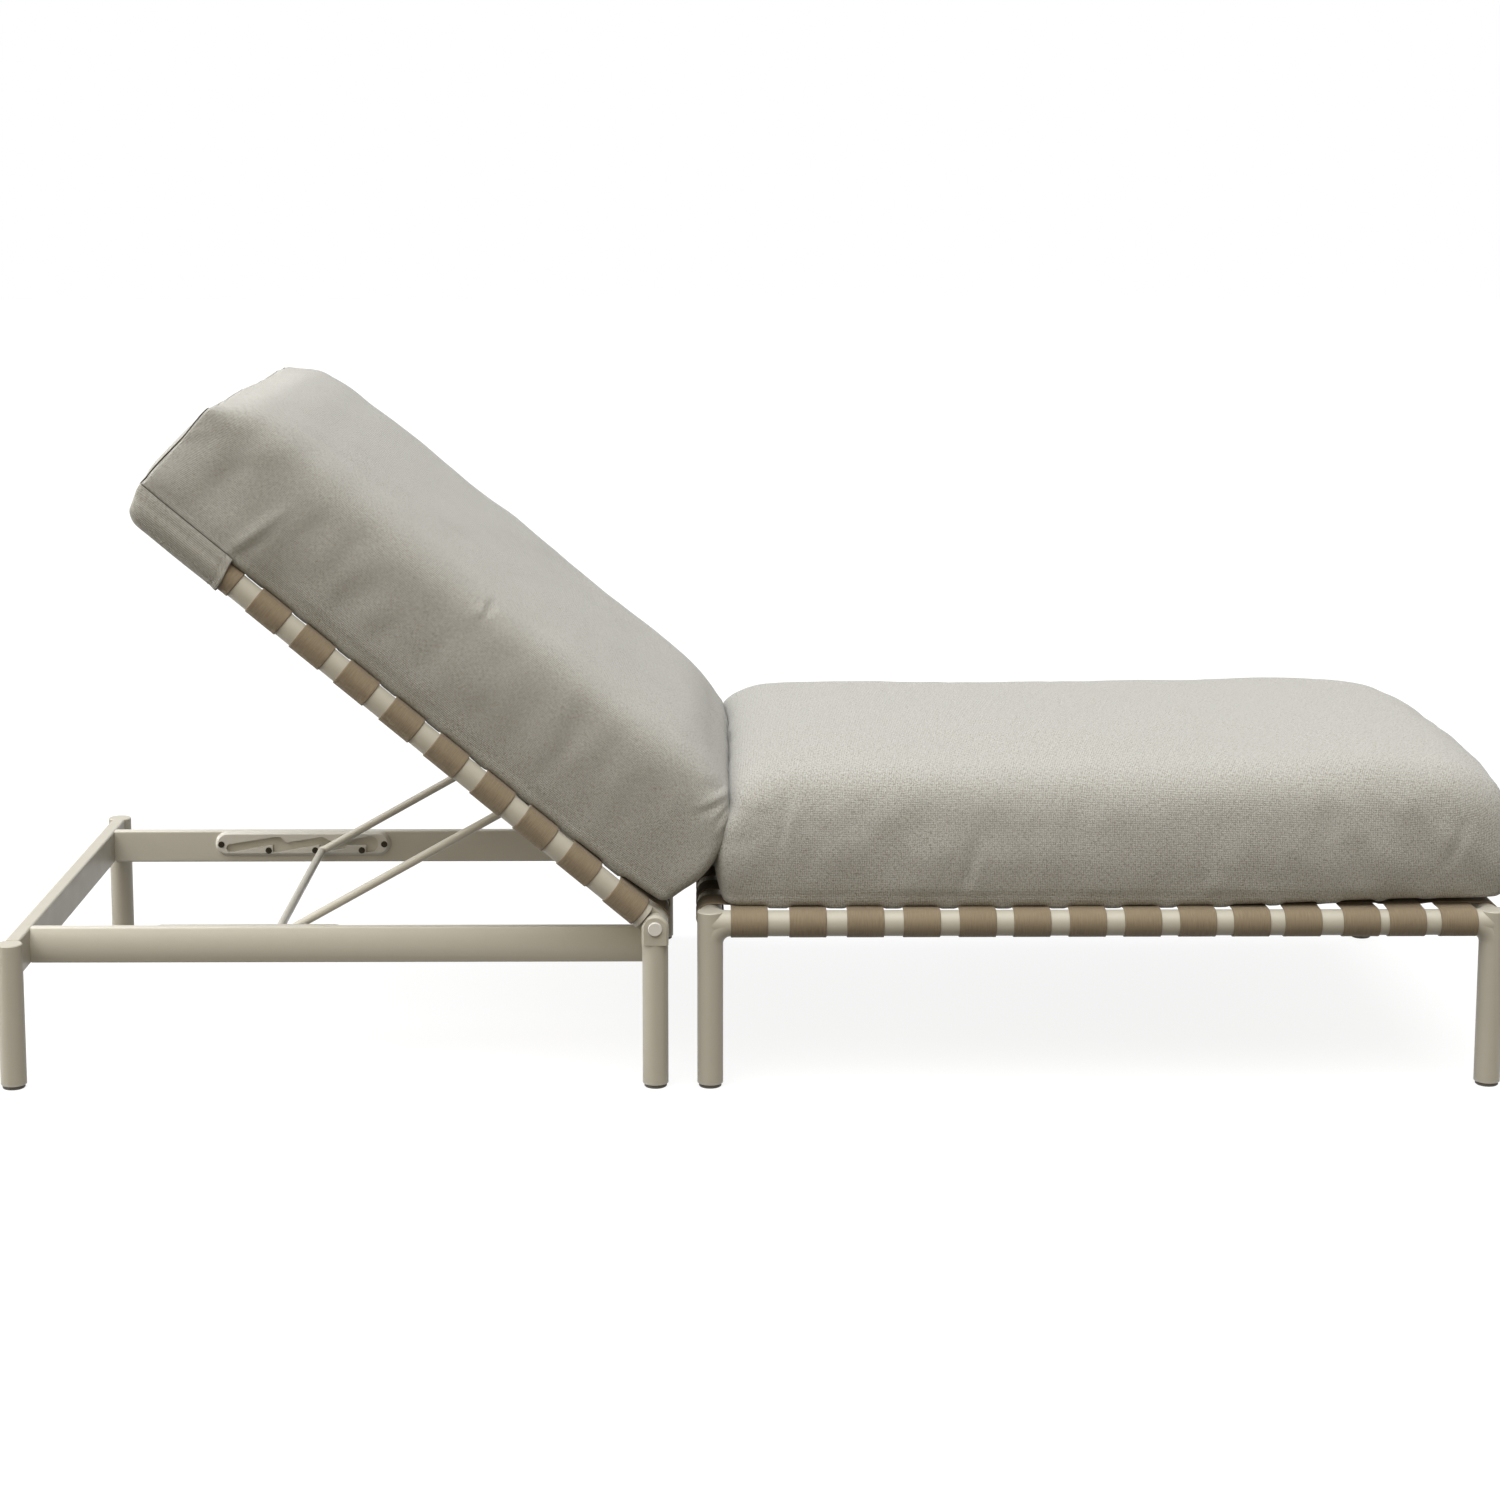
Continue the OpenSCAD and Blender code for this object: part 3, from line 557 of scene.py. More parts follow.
def strap_path(p0, p1, r_mid, sag, offs, long_tail):
    """Centre line in the plane of (along, up): tail sewn under the run, round one tube, over,
    and round the other. p0 and p1 are the tube centres; offs(x) is the weave offset."""
    pts = []
    ang = [math.radians(t) for t in np.arange(-214 if long_tail else -196, -90, 7.0)] + \
          [math.radians(t) for t in np.arange(-90, 90.1, 6.0)]
    # round the p1 tube (outer side is +x)
    side1 = [(p1 + r_mid * math.cos(t), r_mid * math.sin(t), math.cos(t), math.sin(t)) for t in ang]
    side0 = [(p0 - (x - p1), z, -nx, nz) for (x, z, nx, nz) in side1]
    xs = np.arange(p0 + 0.004, p1 - 0.0039, 0.0045)
    span = p1 - p0
    z = r_mid + offs(xs) * smoothstep(xs, p0, p0 + 0.024) * smoothstep(-xs, -p1, -p1 + 0.024) \
        - sag * np.sin(math.pi * (xs - p0) / span) ** 1.0
    top = []
    for i in range(len(xs)):
        a, b = max(0, i - 1), min(len(xs) - 1, i + 1)
        tx, tz = xs[b] - xs[a], z[b] - z[a]
        L = math.hypot(tx, tz)
        top.append((xs[i], z[i], -tz / L, tx / L))
    pts = side0 + top + side1[::-1]
    return pts


def build_webbing(prefix, to_world, body, across_at, along_at, x0, x1, nodes, sag):
    """across_at: positions of the straps that run across; along_at: y of the lengthwise ones."""
    pile = MeshPile()
    r_mid = TUBE + STRAP_T / 2 + 0.0001
    amp = 0.00083
    ya = np.array(along_at)
    # straps across
    for i, c in enumerate(across_at):
        vals = [amp * (1 if (i + j) % 2 == 0 else -1) for j in range(len(ya))]
        cen = [ya[0] - 0.09] + list(ya) + [ya[-1] + 0.09]
        vv = [0.0] + vals + [0.0]
        offs = lambda y: plateau(y, cen, vv, 0.0275)
        path = strap_path(-LEG_Y, LEG_Y, r_mid, sag, offs, False)
        centres = [np.array(to_world(c, y, z)) for (y, z, ny, nz) in path]
        normals = [np.array(to_world(0, ny, nz)) - np.array(to_world(0, 0, 0)) for (y, z, ny, nz) in path]
        wdir = np.array(to_world(1, 0, 0)) - np.array(to_world(0, 0, 0))
        pile.strip(centres, normals, wdir, u0=0.37 * i)
    # lengthwise straps
    ca = np.array(across_at)
    order = np.argsort(ca)
    ca_s = ca[order]
    for j, y in enumerate(along_at):
        vals = [-amp * (1 if (int(order[i]) + j) % 2 == 0 else -1) for i in range(len(ca_s))]
        cen = [ca_s[0] - 0.07] + list(ca_s) + [ca_s[-1] + 0.07]
        vv = [0.0] + vals + [0.0]
        offs = lambda x: plateau(x, cen, vv, 0.0272)
        path = strap_path(x0, x1, r_mid, sag, offs, False)
        centres = [np.array(to_world(x, y, z)) for (x, z, nx, nz) in path]
        normals = [np.array(to_world(nx, 0, nz)) - np.array(to_world(0, 0, 0)) for (x, z, nx, nz) in path]
        wdir = np.array(to_world(0, 1, 0)) - np.array(to_world(0, 0, 0))
        pile.strip(centres, normals, wdir, u0=0.53 * j + 0.2)
    ob = new_object(prefix + "_webbing", pile.v, pile.f, M_BELT, pile.uv)
    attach(ob, body)
    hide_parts(*nodes)
    return ob


ALONG_Y = [(j - 4) * 0.0795 for j in range(9)]
SEAT_X = [-0.0044, 0.0744, 0.1518, 0.2275, 0.3026, 0.3757, 0.4505, 0.5246, 0.5984, 0.6708, 0.7400,
          0.8185, 0.8804, 0.9500]
BACK_A = [0.052, 0.1327, 0.2087, 0.2831, 0.3629, 0.4391, 0.5169, 0.5922, 0.6661, 0.7466, 0.8155]


def seat_world(x, y, z):
    return (x, y, SEAT_Z + z)


seat_web = build_webbing("seat", seat_world, "base", SEAT_X, ALONG_Y, NEAR_X, FOOT_X,
                         ["seat_straps_across", "seat_straps_along"], 0.0012)
back_web = build_webbing("back", back_to_world, "back", BACK_A, ALONG_Y, 0.0, BACK_L,
                         ["back_straps_across", "back_straps_along"], 0.0012)


# ----------------------------------------------------------------- cushions
def interp(x, xs, ys):
    """Monotone-ish smooth interpolation through given stations."""
    x = np.asarray(x, float)
    xs, ys = np.array(xs, float), np.array(ys, float)
    m = np.gradient(ys, xs)
    i = np.clip(np.searchsorted(xs, x) - 1, 0, len(xs) - 2)
    h = xs[i + 1] - xs[i]
    t = np.clip((x - xs[i]) / h, 0, 1)
    h00, h10 = 2 * t**3 - 3 * t**2 + 1, t**3 - 2 * t**2 + t
    h01, h11 = -2 * t**3 + 3 * t**2, t**3 - t**2
    return h00 * ys[i] + h10 * h * m[i] + h01 * ys[i + 1] + h11 * h * m[i + 1]


def outline(W, B, T, rb, rx, rz, crown, bulge, soft, ny, nz, power=3.2):
    """Closed outline of one section as ny+nz+ny+nz points: bottom, far side, top, near side.
    T is the height on the centre line; the shoulders start at T less crown."""
    k = 40
    t = np.linspace(0, math.pi / 2, k)
    Ts = T - crown
    bot_y = np.linspace(0, W - rb, 60)
    bot_n = np.full(60, B)
    arc_y = W - rb + rb * np.sin(t)
    arc_n = B + rb - rb * np.cos(t)
    s_n = np.linspace(B + rb, Ts - rz, 50)
    s_y = W + bulge * np.clip(np.sin(math.pi * (s_n - (B + rb)) / (Ts - rz - B - rb)), 0, 1) ** 0.8
    top_y = W - rx + rx * np.cos(t)
    top_n = Ts - rz + rz * np.sin(t)
    cr_y = np.linspace(W - rx, 0, 80)
    cr_n = T - crown * (cr_y / (W - rx)) ** power
    y = np.concatenate([bot_y[:-1], arc_y[:-1], s_y[:-1], top_y[:-1], cr_y])
    n = np.concatenate([bot_n[:-1], arc_n[:-1], s_n[:-1], top_n[:-1], cr_n])
    # even 1.5 mm spacing, then smooth everything above the bottom corner
    d = np.concatenate([[0], np.cumsum(np.hypot(np.diff(y), np.diff(n)))])
    m = int(d[-1] / 0.0015)
    s = np.linspace(0, d[-1], m + 1)
    y, n = np.interp(s, d, y), np.interp(s, d, n)
    mask = smoothstep(s, d[98] + 0.004, d[98] + 0.030)
    for _ in range(int(soft)):
        my = np.concatenate([y[:1], 0.5 * (y[2:] + y[:-2]), [y[-1]]])
        mn = np.concatenate([n[:1], 0.5 * (n[2:] + n[:-2]), [n[-2]]])
        y = y + mask * 0.5 * (my - y)
        n = n + mask * 0.5 * (mn - n)
    y[-1] = 0.0
    i_b = int(np.searchsorted(s, d[59 + k // 2]))
    i_t = int(np.searchsorted(s, d[59 + k - 1 + 49 + k // 2]))
    segs = [(0, i_b, ny // 2), (i_b, i_t, nz), (i_t, len(y) - 1, ny // 2)]
    out = []
    for a, b, c in segs:
        yy, nn = y[a:b + 1], n[a:b + 1]
        e = np.concatenate([[0], np.cumsum(np.hypot(np.diff(yy), np.diff(nn)))])
        g = np.linspace(0, e[-1], c + 1)
        out.append((np.interp(g, e, yy), np.interp(g, e, nn)))
    by, bn = out[0]
    sy, sn = out[1]
    ty, tn = out[2]
    ring_y = np.concatenate([-by[::-1][:-1], by[:-1], sy[:-1], ty[:-1], -ty[::-1][:-1], -sy[::-1][:-1]])
    ring_n = np.concatenate([bn[::-1][:-1], bn[:-1], sn[:-1], tn[:-1], tn[::-1][:-1], sn[::-1][:-1]])
    return ring_y, ring_n


def build_cushion(spec, step):
    """Structured closed form: rings along its length and a panel at each end.
    Returns verts in (length, across, up), faces, uvs, and marks."""
    L0, L1 = spec["ends"]
    ny = 2 * int(round(0.70 / step / 2))
    nz = max(10, int(round(0.17 / step)))
    N = 2 * (ny + nz)
    re0, re1 = spec["round"]
    rows = []
    k0 = max(4, int(round(re0 * 1.57 / step)))
    k1 = max(3, int(round(re1 * 1.57 / step)))
    for i in range(k0):
        ph = math.pi / 2 * (1 - i / k0)
        rows.append((L0 + re0 - re0 * math.sin(ph), re0 * (1 - math.cos(ph)), ph))
    mid = int(round((L1 - L0 - re0 - re1) / step))
    for i in range(mid + 1):
        rows.append((L0 + re0 + (L1 - L0 - re0 - re1) * i / mid, 0.0, 0.0))
    for i in range(1, k1 + 1):
        ph = math.pi / 2 * i / k1
        rows.append((L1 - re1 + re1 * math.sin(ph), re1 * (1 - math.cos(ph)), ph))
    V, ringlen = [], []
    for (x, inset, ph) in rows:
        s = spec["section"](x)
        W, B, T = s[:3]
        ry, rn = outline(*s, ny, nz, spec["power"])
        c = 0.5 * (B + T)
        hw, hh = W, 0.5 * (T - B)
        sy, sn = spec["near_inset"] if x < L0 + re0 else (1.0, 1.0)
        ry = ry * (W - inset * sy) / W
        rn = c + (rn - c) * (hh - inset * sn) / hh
        V.append(np.stack([np.full(N, x), ry, rn], -1))
        ringlen.append(np.concatenate([[0], np.cumsum(np.hypot(np.diff(np.append(ry, ry[0])),
                                                               np.diff(np.append(rn, rn[0]))))]))
    M = len(rows)
    V = np.concatenate(V)
    faces, uvs = [], []
    run = [0.0]
    mid_idx = N // 4
    for i in range(1, M):
        run.append(run[-1] + math.hypot(rows[i][0] - rows[i - 1][0], rows[i][1] - rows[i - 1][1]))
    base_arc = ringlen[M // 2]
    for i in range(M - 1):
        for q in range(N):
            q2 = (q + 1) % N
            faces.append((i * N + q, i * N + q2, (i + 1) * N + q2, (i + 1) * N + q))
            uvs += [(run[i], base_arc[q]), (run[i], base_arc[q + 1]),
                    (run[i + 1], base_arc[q + 1]), (run[i + 1], base_arc[q])]
    # end panels: grid by transfinite interpolation
    verts = [V]
    count = M * N
    caps = []
    for end, r in ((0, 0), (1, M - 1)):
        ring = V[r * N:(r + 1) * N]
        idx = np.full((nz + 1, ny + 1), -1)
        P = np.zeros((nz + 1, ny + 1, 3))
        for q in range(ny + 1):
            idx[0, q] = r * N + q
            P[0, q] = ring[q]
        for q in range(nz + 1):
            idx[q, ny] = r * N + ny + q
            P[q, ny] = ring[ny + q]
        for q in range(ny + 1):
            idx[nz, ny - q] = r * N + ny + nz + q
            P[nz, ny - q] = ring[ny + nz + q]
        for q in range(nz + 1):
            idx[nz - q, 0] = r * N + (2 * ny + nz + q) % N
            P[nz - q, 0] = ring[(2 * ny + nz + q) % N]
        extra = []
        bulge = spec["end_bulge"][end] * (-1 if end == 0 else 1)
        for a in range(1, nz):
            for b in range(1, ny):
                s, t = b / ny, a / nz
                p = ((1 - t) * P[0, b] + t * P[nz, b] + (1 - s) * P[a, 0] + s * P[a, ny]
                     - ((1 - s) * (1 - t) * P[0, 0] + s * (1 - t) * P[0, ny]
                        + (1 - s) * t * P[nz, 0] + s * t * P[nz, ny]))
                dy = spec["wide"] * min(s, 1 - s)
                dn = spec["tall"] * min(t, 1 - t)
                e = (1 - math.exp(-dy / 0.011)) * (1 - math.exp(-dn / 0.012))
                p = p + np.array([bulge * e, 0, 0])
                idx[a, b] = count + len(extra)
                extra.append(p)
                P[a, b] = p
        verts.append(np.array(extra))
        count += len(extra)
        for a in range(nz):
            for b in range(ny):
                f = (idx[a, b], idx[a, b + 1], idx[a + 1, b + 1], idx[a + 1, b])
                g = [(P[a, b][1], P[a, b][2]), (P[a, b + 1][1], P[a, b + 1][2]),
                     (P[a + 1, b + 1][1], P[a + 1, b + 1][2]), (P[a + 1, b][1], P[a + 1, b][2])]
                if end == 0:
                    f, g = f[::-1], g[::-1]
                faces.append(f)
                uvs += g
        caps.append(idx)
    V = np.concatenate(verts)
    info = {"M": M, "N": N, "ny": ny, "nz": nz, "rows": rows, "caps": caps}
    return V, faces, uvs, info


# Back cushion, in back coordinates: length runs from the heel (0) to the head end
def back_section(a):
    W = float(interp(a, [-0.01, 0.10, 0.45, 0.80, 0.91], [0.365, 0.369, 0.370, 0.3695, 0.368]))
    B = float(interp(a, [-0.01, 0.05, 0.14, 0.26, 0.45, 0.91], [0.0275, 0.0225, 0.0193, 0.0184, 0.0182, 0.0190]))
    T = float(interp(a, [-0.01, 0.03, 0.06, 0.10, 0.25, 0.48, 0.75, 0.82, 0.852, 0.868, 0.8795, 0.889, 0.896, 0.900],
                     [0.2000, 0.2178, 0.2264, 0.2324, 0.2352, 0.2355, 0.2275, 0.2195, 0.2080, 0.1960, 0.1855, 0.1765,
                      0.1700, 0.1670]))
    rb = float(interp(a, [-0.01, 0.08, 0.3, 0.91], [0.014, 0.010, 0.006, 0.006]))
    rx = float(interp(a, [-0.01, 0.2, 0.78, 0.86, 0.90], [0.055, 0.058, 0.058, 0.038, 0.012]))
    rz = float(interp(a, [-0.01, 0.2, 0.78, 0.86, 0.90], [0.048, 0.050, 0.050, 0.034, 0.010]))
    crown = float(interp(a, [-0.01, 0.1, 0.25, 0.7, 0.82, 0.87, 0.90],
                         [0.012, 0.021, 0.026, 0.025, 0.020, 0.011, 0.0035]))
    bulge = float(interp(a, [0.0, 0.75, 0.90], [0.0045, 0.0045, 0.0015]))
    soft = float(interp(a, [0.0, 0.80, 0.87, 0.90], [90, 90, 45, 12]))
    return W, B, T, rb, rx, rz, crown, bulge, soft


def seat_section(x):
    W = float(interp(x, [-0.05, 0.1, 0.5, 0.9, 0.985, 1.035], [0.3640, 0.366, 0.367, 0.366, 0.360, 0.346]))
    B = float(interp(x, [-0.05, 0.5, 0.62, 0.90, 1.035], [0.2450, 0.2445, 0.2455, 0.2535, 0.2520]))
    T = float(interp(x, [-0.05, 0.0, 0.05, 0.12, 0.36, 0.70, 0.90, 0.97, 1.035],
                     [0.4130, 0.4365, 0.4455, 0.4510, 0.4550, 0.4560, 0.4535, 0.4420, 0.4075]))
    rx = float(interp(x, [-0.05, 0.2, 0.8, 1.035], [0.066, 0.070, 0.070, 0.066]))
    rz = float(interp(x, [-0.05, 0.2, 0.8, 1.035], [0.070, 0.078, 0.078, 0.068]))
    crown = float(interp(x, [-0.05, 0.1, 0.8, 1.035], [0.011, 0.018, 0.018, 0.012]))
    return W, B, T, 0.011, rx, rz, crown, 0.007, 90


BACK_SPEC = {"ends": (0.0, 0.8990), "round": (0.014, 0.0042), "end_bulge": (0.004, 0.0065), "section": back_section,
             "wide": 0.735, "tall": 0.150, "near_inset": (1.0, 1.0), "power": 3.2}
SEAT_SPEC = {"ends": (-0.0430, 1.0290), "round": (0.020, 0.020), "end_bulge": (0.004, 0.0045),
             "section": seat_section, "wide": 0.70, "tall": 0.150, "near_inset": (1.20, 0.30), "power": 2.75}


def shape_back(V):
    """Slants and bows the two ends."""
    V = V.copy()
    a, y, n = V[:, 0], V[:, 1], V[:, 2]
    low = interp(n, [0.015, 0.030, 0.038, 0.060, 0.082, 0.105, 0.138, 0.160, 0.180, 0.200, 0.225],
                 [0.004, 0.003, 0.001, -0.0025, -0.006, -0.006, -0.002, 0.0075, 0.018, 0.031, 0.050])
    V[:, 0] += low * smoothstep(-a, -0.16, 0.0)
    high = interp(n, [0.015, 0.030, 0.10, 0.140, 0.161, 0.200],
                  [0.0020, 0.0020, 0.0002, -0.0012, -0.0030, -0.0050])
    V[:, 0] += high * smoothstep(a, 0.80, 0.90)
    # the pocket over the frame pulls the lower edge outwards at the head
    V[:, 1] += y / 0.37 * 0.0165 * smoothstep(a, 0.680, 0.756) * smoothstep(-n, -0.130, -0.022)
    return V


def shape_seat(V):
    """The foot end bows out a little between its corners."""
    V = V.copy()
    x, y, z = V[:, 0], V[:, 1], V[:, 2]
    bow = 0.0015 * np.cos(np.clip(y / 0.36, -1, 1) * math.pi / 2)
    V[:, 0] += bow * smoothstep(x, 0.90, 1.02)
    # the near end is pushed back where the back cushion leans on it
    near = interp(z, [0.24, 0.27, 0.29, 0.34, 0.365, 0.39, 0.42, 0.45],
                  [0.004, 0.000, -0.003, -0.003, 0.001, 0.006, 0.008, 0.008])
    V[:, 0] += near * smoothstep(-x, -0.10, 0.02)
    return V


def strokes(p, q, lines):
    """Height of folds at surface positions (p, q). Each fold: points, half width,
    depth of its valley (minus for a ridge), and the height of the lip beside it."""
    out = np.zeros_like(p)
    for pts, w, depth, lip, *kind in lines:
        seg = [math.dist(pts[i], pts[i + 1]) for i in range(len(pts) - 1)]
        total, run = sum(seg), 0.0
        best = np.full_like(p, 9.0)
        sign = np.zeros_like(p)
        par = np.zeros_like(p)
        for i, L in enumerate(seg):
            (x0, y0), (x1, y1) = pts[i], pts[i + 1]
            tx, ty = (x1 - x0) / L, (y1 - y0) / L
            t = np.clip((p - x0) * tx + (q - y0) * ty, 0, L)
            dx, dy = p - x0 - t * tx, q - y0 - t * ty
            d = np.hypot(dx, dy)
            near = d < best
            best = np.where(near, d, best)
            sign = np.where(near, np.sign(tx * dy - ty * dx), sign)
            par = np.where(near, (run + t) / total, par)
            run += L
        fade = np.sin(math.pi * np.clip(par, 0.0, 1.0)) ** 0.7
        if kind:                                   # open at its start, where cloth is pinched
            fade = (1 - np.clip(par, 0.0, 1.0)) ** 0.8
        d = best * sign
        out += fade * (-depth * np.exp(-(best / w) ** 2) + lip * np.exp(-((d - 1.7 * w) / (1.2 * w)) ** 2))
    return out


def fine_pass(ob, shape):
    """Moves the finished vertices along their normals by shape(co, normal), in metres."""
    me = ob.data
    n = len(me.vertices)
    co, no = np.empty(n * 3, np.float32), np.empty(n * 3, np.float32)
    me.vertices.foreach_get("co", co)
    me.vertices.foreach_get("normal", no)
    co, no = co.reshape(-1, 3).astype(float), no.reshape(-1, 3).astype(float)
    co = co + no * shape(co, no)[:, None]
    me.vertices.foreach_set("co", co.reshape(-1).astype(np.float32))
    me.update()
    return co


def oriented(V, F, UV):
    """Faces turned so that the closed form's normals point out."""
    P = np.asarray(V)
    P = P - P.mean(0)
    quads = np.array([f for f in F if len(f) == 4])
    a, b, c, d = (P[quads[:, t]] for t in range(4))
    vol = float((a * np.cross(b, c)).sum() + (a * np.cross(c, d)).sum())
    if vol > 0:
        return F, UV
    out, uv, k = [], [], 0
    for f in F:
        out.append(tuple(f[::-1]))
        uv += UV[k:k + len(f)][::-1]
        k += len(f)
    return out, uv


def mesh_edges(F):
    e = set()
    for f in F:
        for t in range(len(f)):
            a, b = f[t], f[(t + 1) % len(f)]
            e.add((a, b) if a < b else (b, a))
    return np.array(sorted(e))


def smooth_field(D, E, passes):
    """Neighbour averaging of a per-vertex field over the mesh's edges."""
    n = len(D)
    i, j = np.concatenate([E[:, 0], E[:, 1]]), np.concatenate([E[:, 1], E[:, 0]])
    deg = np.bincount(i, minlength=n)[:, None]
    D = D.copy()
    for _ in range(passes):
        acc = np.stack([np.bincount(i, weights=D[j, c], minlength=n) for c in range(D.shape[1])], -1)
        D = 0.4 * D + 0.6 * acc / deg
    return D


def vertex_normals(V, F):
    quads = np.array([f for f in F if len(f) == 4])
    fn = np.cross(V[quads[:, 2]] - V[quads[:, 0]], V[quads[:, 3]] - V[quads[:, 1]])
    out = np.zeros_like(V)
    for t in range(4):
        for c in range(3):
            out[:, c] += np.bincount(quads[:, t], weights=fn[:, c], minlength=len(V))
    return out / np.maximum(np.linalg.norm(out, axis=1), 1e-12)[:, None]


def cloth_folds(V, F, hold, tight, slack, cap=0.0030, pressure=4.0, frames=20, gain=0.45):
    """Inflates a slightly smaller, slightly slack copy of the closed form as cloth, and gives the
    folds the simulation makes, without its overall swelling, as an offset of each vertex."""
    N = vertex_normals(V, F)
    start = V - N * 0.005 * (1 - hold)[:, None]
    me = D.meshes.new("cloth_copy")
    me.from_pydata([tuple(v) for v in start], [], F)
    me.update()
    ob = D.objects.new("cloth_copy", me)
    scene.collection.objects.link(ob)
    pin = ob.vertex_groups.new(name="hold")
    seam = ob.vertex_groups.new(name="tight")
    for k in np.nonzero(hold > 0.01)[0]:
        pin.add([int(k)], float(hold[k]), "REPLACE")
    for k in np.nonzero(tight > 0.01)[0]:
        seam.add([int(k)], float(tight[k]), "REPLACE")
    mod = ob.modifiers.new("cloth", "CLOTH")
    c = mod.settings
    c.quality = 5
    c.mass = 0.3
    c.tension_stiffness = c.compression_stiffness = 22
    c.shear_stiffness = 8
    c.bending_stiffness = 0.35
    c.use_pressure = True
    c.uniform_pressure_force = pressure
    c.effector_weights.gravity = 0
    c.vertex_group_mass = "hold"
    c.vertex_group_shrink = "tight"
    c.shrink_min = -slack
    c.shrink_max = 0.035
    mod.collision_settings.use_collision = False
    mod.point_cache.frame_start = 1
    mod.point_cache.frame_end = frames
    for f in range(1, frames + 1):
        scene.frame_set(f)
    ev = ob.evaluated_get(bpy.context.evaluated_depsgraph_get())
    tmp = ev.to_mesh()
    co = np.empty(len(tmp.vertices) * 3, np.float32)
    tmp.vertices.foreach_get("co", co)
    ev.to_mesh_clear()
    co = co.reshape(-1, 3).astype(float)
    D.objects.remove(ob)
    D.meshes.remove(me)
    scene.frame_set(1)
    E = mesh_edges(F)
    move = co - start
    if not np.isfinite(move).all():
        return np.zeros_like(V)
    fold = move - smooth_field(move, E, 30)
    fold = smooth_field(fold, E, 2)
    size = np.linalg.norm(fold, axis=1)
    fold *= (cap * np.tanh(size * gain / cap) / np.maximum(size, 1e-9))[:, None]
    calm = 1 - 0.65 * smoothstep(N[:, 2], 0.25, 0.75)
    return fold * (calm * (1 - hold))[:, None]


def cushion_object(name, V, F, UV, mat):
    """Local-coordinate object with one level of subdivision applied."""
    F, UV = oriented(V, F, UV)
    ob = new_object(name, V, F, mat, UV)
    mod = ob.modifiers.new("sub", "SUBSURF")
    mod.levels = mod.render_levels = 1
    bpy.context.view_layer.objects.active = ob
    ob.select_set(True)
    bpy.ops.object.modifier_apply(modifier=mod.name)
    ob.select_set(False)
    return ob


def place(ob, to_world):
    """Takes the object's vertices from local coordinates to the frame's."""
    me = ob.data
    n = len(me.vertices)
    co = np.empty(n * 3, np.float32)
    me.vertices.foreach_get("co", co)
    co = co.reshape(-1, 3).astype(float)
    W = to_world(co[:, 0], co[:, 1], co[:, 2])
    me.vertices.foreach_set("co", W.reshape(-1).astype(np.float32))
    e = np.array(to_world(np.array([0.0, 1, 0, 0]), np.array([0.0, 0, 1, 0]), np.array([0.0, 0, 0, 1])))
    if np.linalg.det(e[1:] - e[0]) < 0:
        me.flip_normals()
    me.update()


def tube_along(pile, pts, r, sides=6, close=False, taper=True):
    """A thin cord along points, added to a pile."""
    pts = [np.array(p, float) for p in pts]
    m = len(pts)
    prev = None
    verts, faces, uvs = [], [], []
    for i in range(m):
        a = pts[(i - 1) % m] if close or i else pts[0]
        b = pts[(i + 1) % m] if close or i < m - 1 else pts[-1]
        t = b - a
        t /= max(np.linalg.norm(t), 1e-9)
        if prev is None:
            ref = np.array([0.0, 0.0, 1.0]) if abs(t[2]) < 0.8 else np.array([0.0, 1.0, 0.0])
            prev = np.cross(t, ref)
        u = prev - t * np.dot(prev, t)
        u /= np.linalg.norm(u)
        prev = u
        w = np.cross(t, u)
        f = 1.0
        if taper and not close:
            f = min(1.0, 0.35 + 0.65 * min(i, m - 1 - i) / 2)
        for q in range(sides):
            an = 2 * math.pi * q / sides
            verts.append(pts[i] + (u * math.cos(an) + w * math.sin(an)) * r * f)
    last = m if close else m - 1
    for i in range(last):
        j = (i + 1) % m
        for q in range(sides):
            q2 = (q + 1) % sides
            faces.append((i * sides + q, i * sides + q2, j * sides + q2, j * sides + q))
            uvs += [(i * 0.004, q * 0.0005)] * 4
    if not close:
        faces.append(tuple(range(sides))[::-1])
        faces.append(tuple(range((m - 1) * sides, m * sides)))
        uvs += [(0, 0)] * (2 * sides)
    pile.add(verts, faces, uvs)


STEP = 0.008

# Folds seen on the near side of the back cushion (a, n), and on its shoulder
BACK_FOLDS = [
    ([(0.758, 0.020), (0.749, 0.060), (0.740, 0.100), (0.730, 0.135)], 0.0080, -0.0024, 0.0),
    ([(0.747, 0.020), (0.736, 0.055), (0.724, 0.085)], 0.0080, 0.0017, 0.0),
    ([(0.447, 0.200), (0.444, 0.186), (0.441, 0.168)], 0.0050, 0.0022, 0.0012),
    ([(0.470, 0.180), (0.448, 0.188), (0.430, 0.190)], 0.0065, 0.0014, 0.0008),
    ([(0.016, 0.212), (0.036, 0.182), (0.058, 0.146)], 0.0048, 0.0052, 0.0040, "open"),
    ([(0.018, 0.206), (0.026, 0.176), (0.024, 0.146)], 0.0042, 0.0044, 0.0026, "open"),
    ([(0.020, 0.214), (0.052, 0.192), (0.085, 0.180)], 0.0080, 0.0032, 0.0024, "open"),
    ([(0.010, 0.182), (0.008, 0.160), (0.010, 0.138)], 0.0045, 0.0022, 0.0012, "open"),
    ([(0.600, 0.040), (0.590, 0.090), (0.570, 0.150)], 0.022, 0.0014, 0.0008),
    ([(0.300, 0.035), (0.310, 0.090), (0.330, 0.140)], 0.024, 0.0014, 0.0007),
    ([(0.160, 0.030), (0.175, 0.080), (0.200, 0.130)], 0.018, 0.0013, 0.0007),
    ([(0.850, 0.160), (0.820, 0.120), (0.800, 0.060)], 0.020, 0.0016, 0.0010),
]
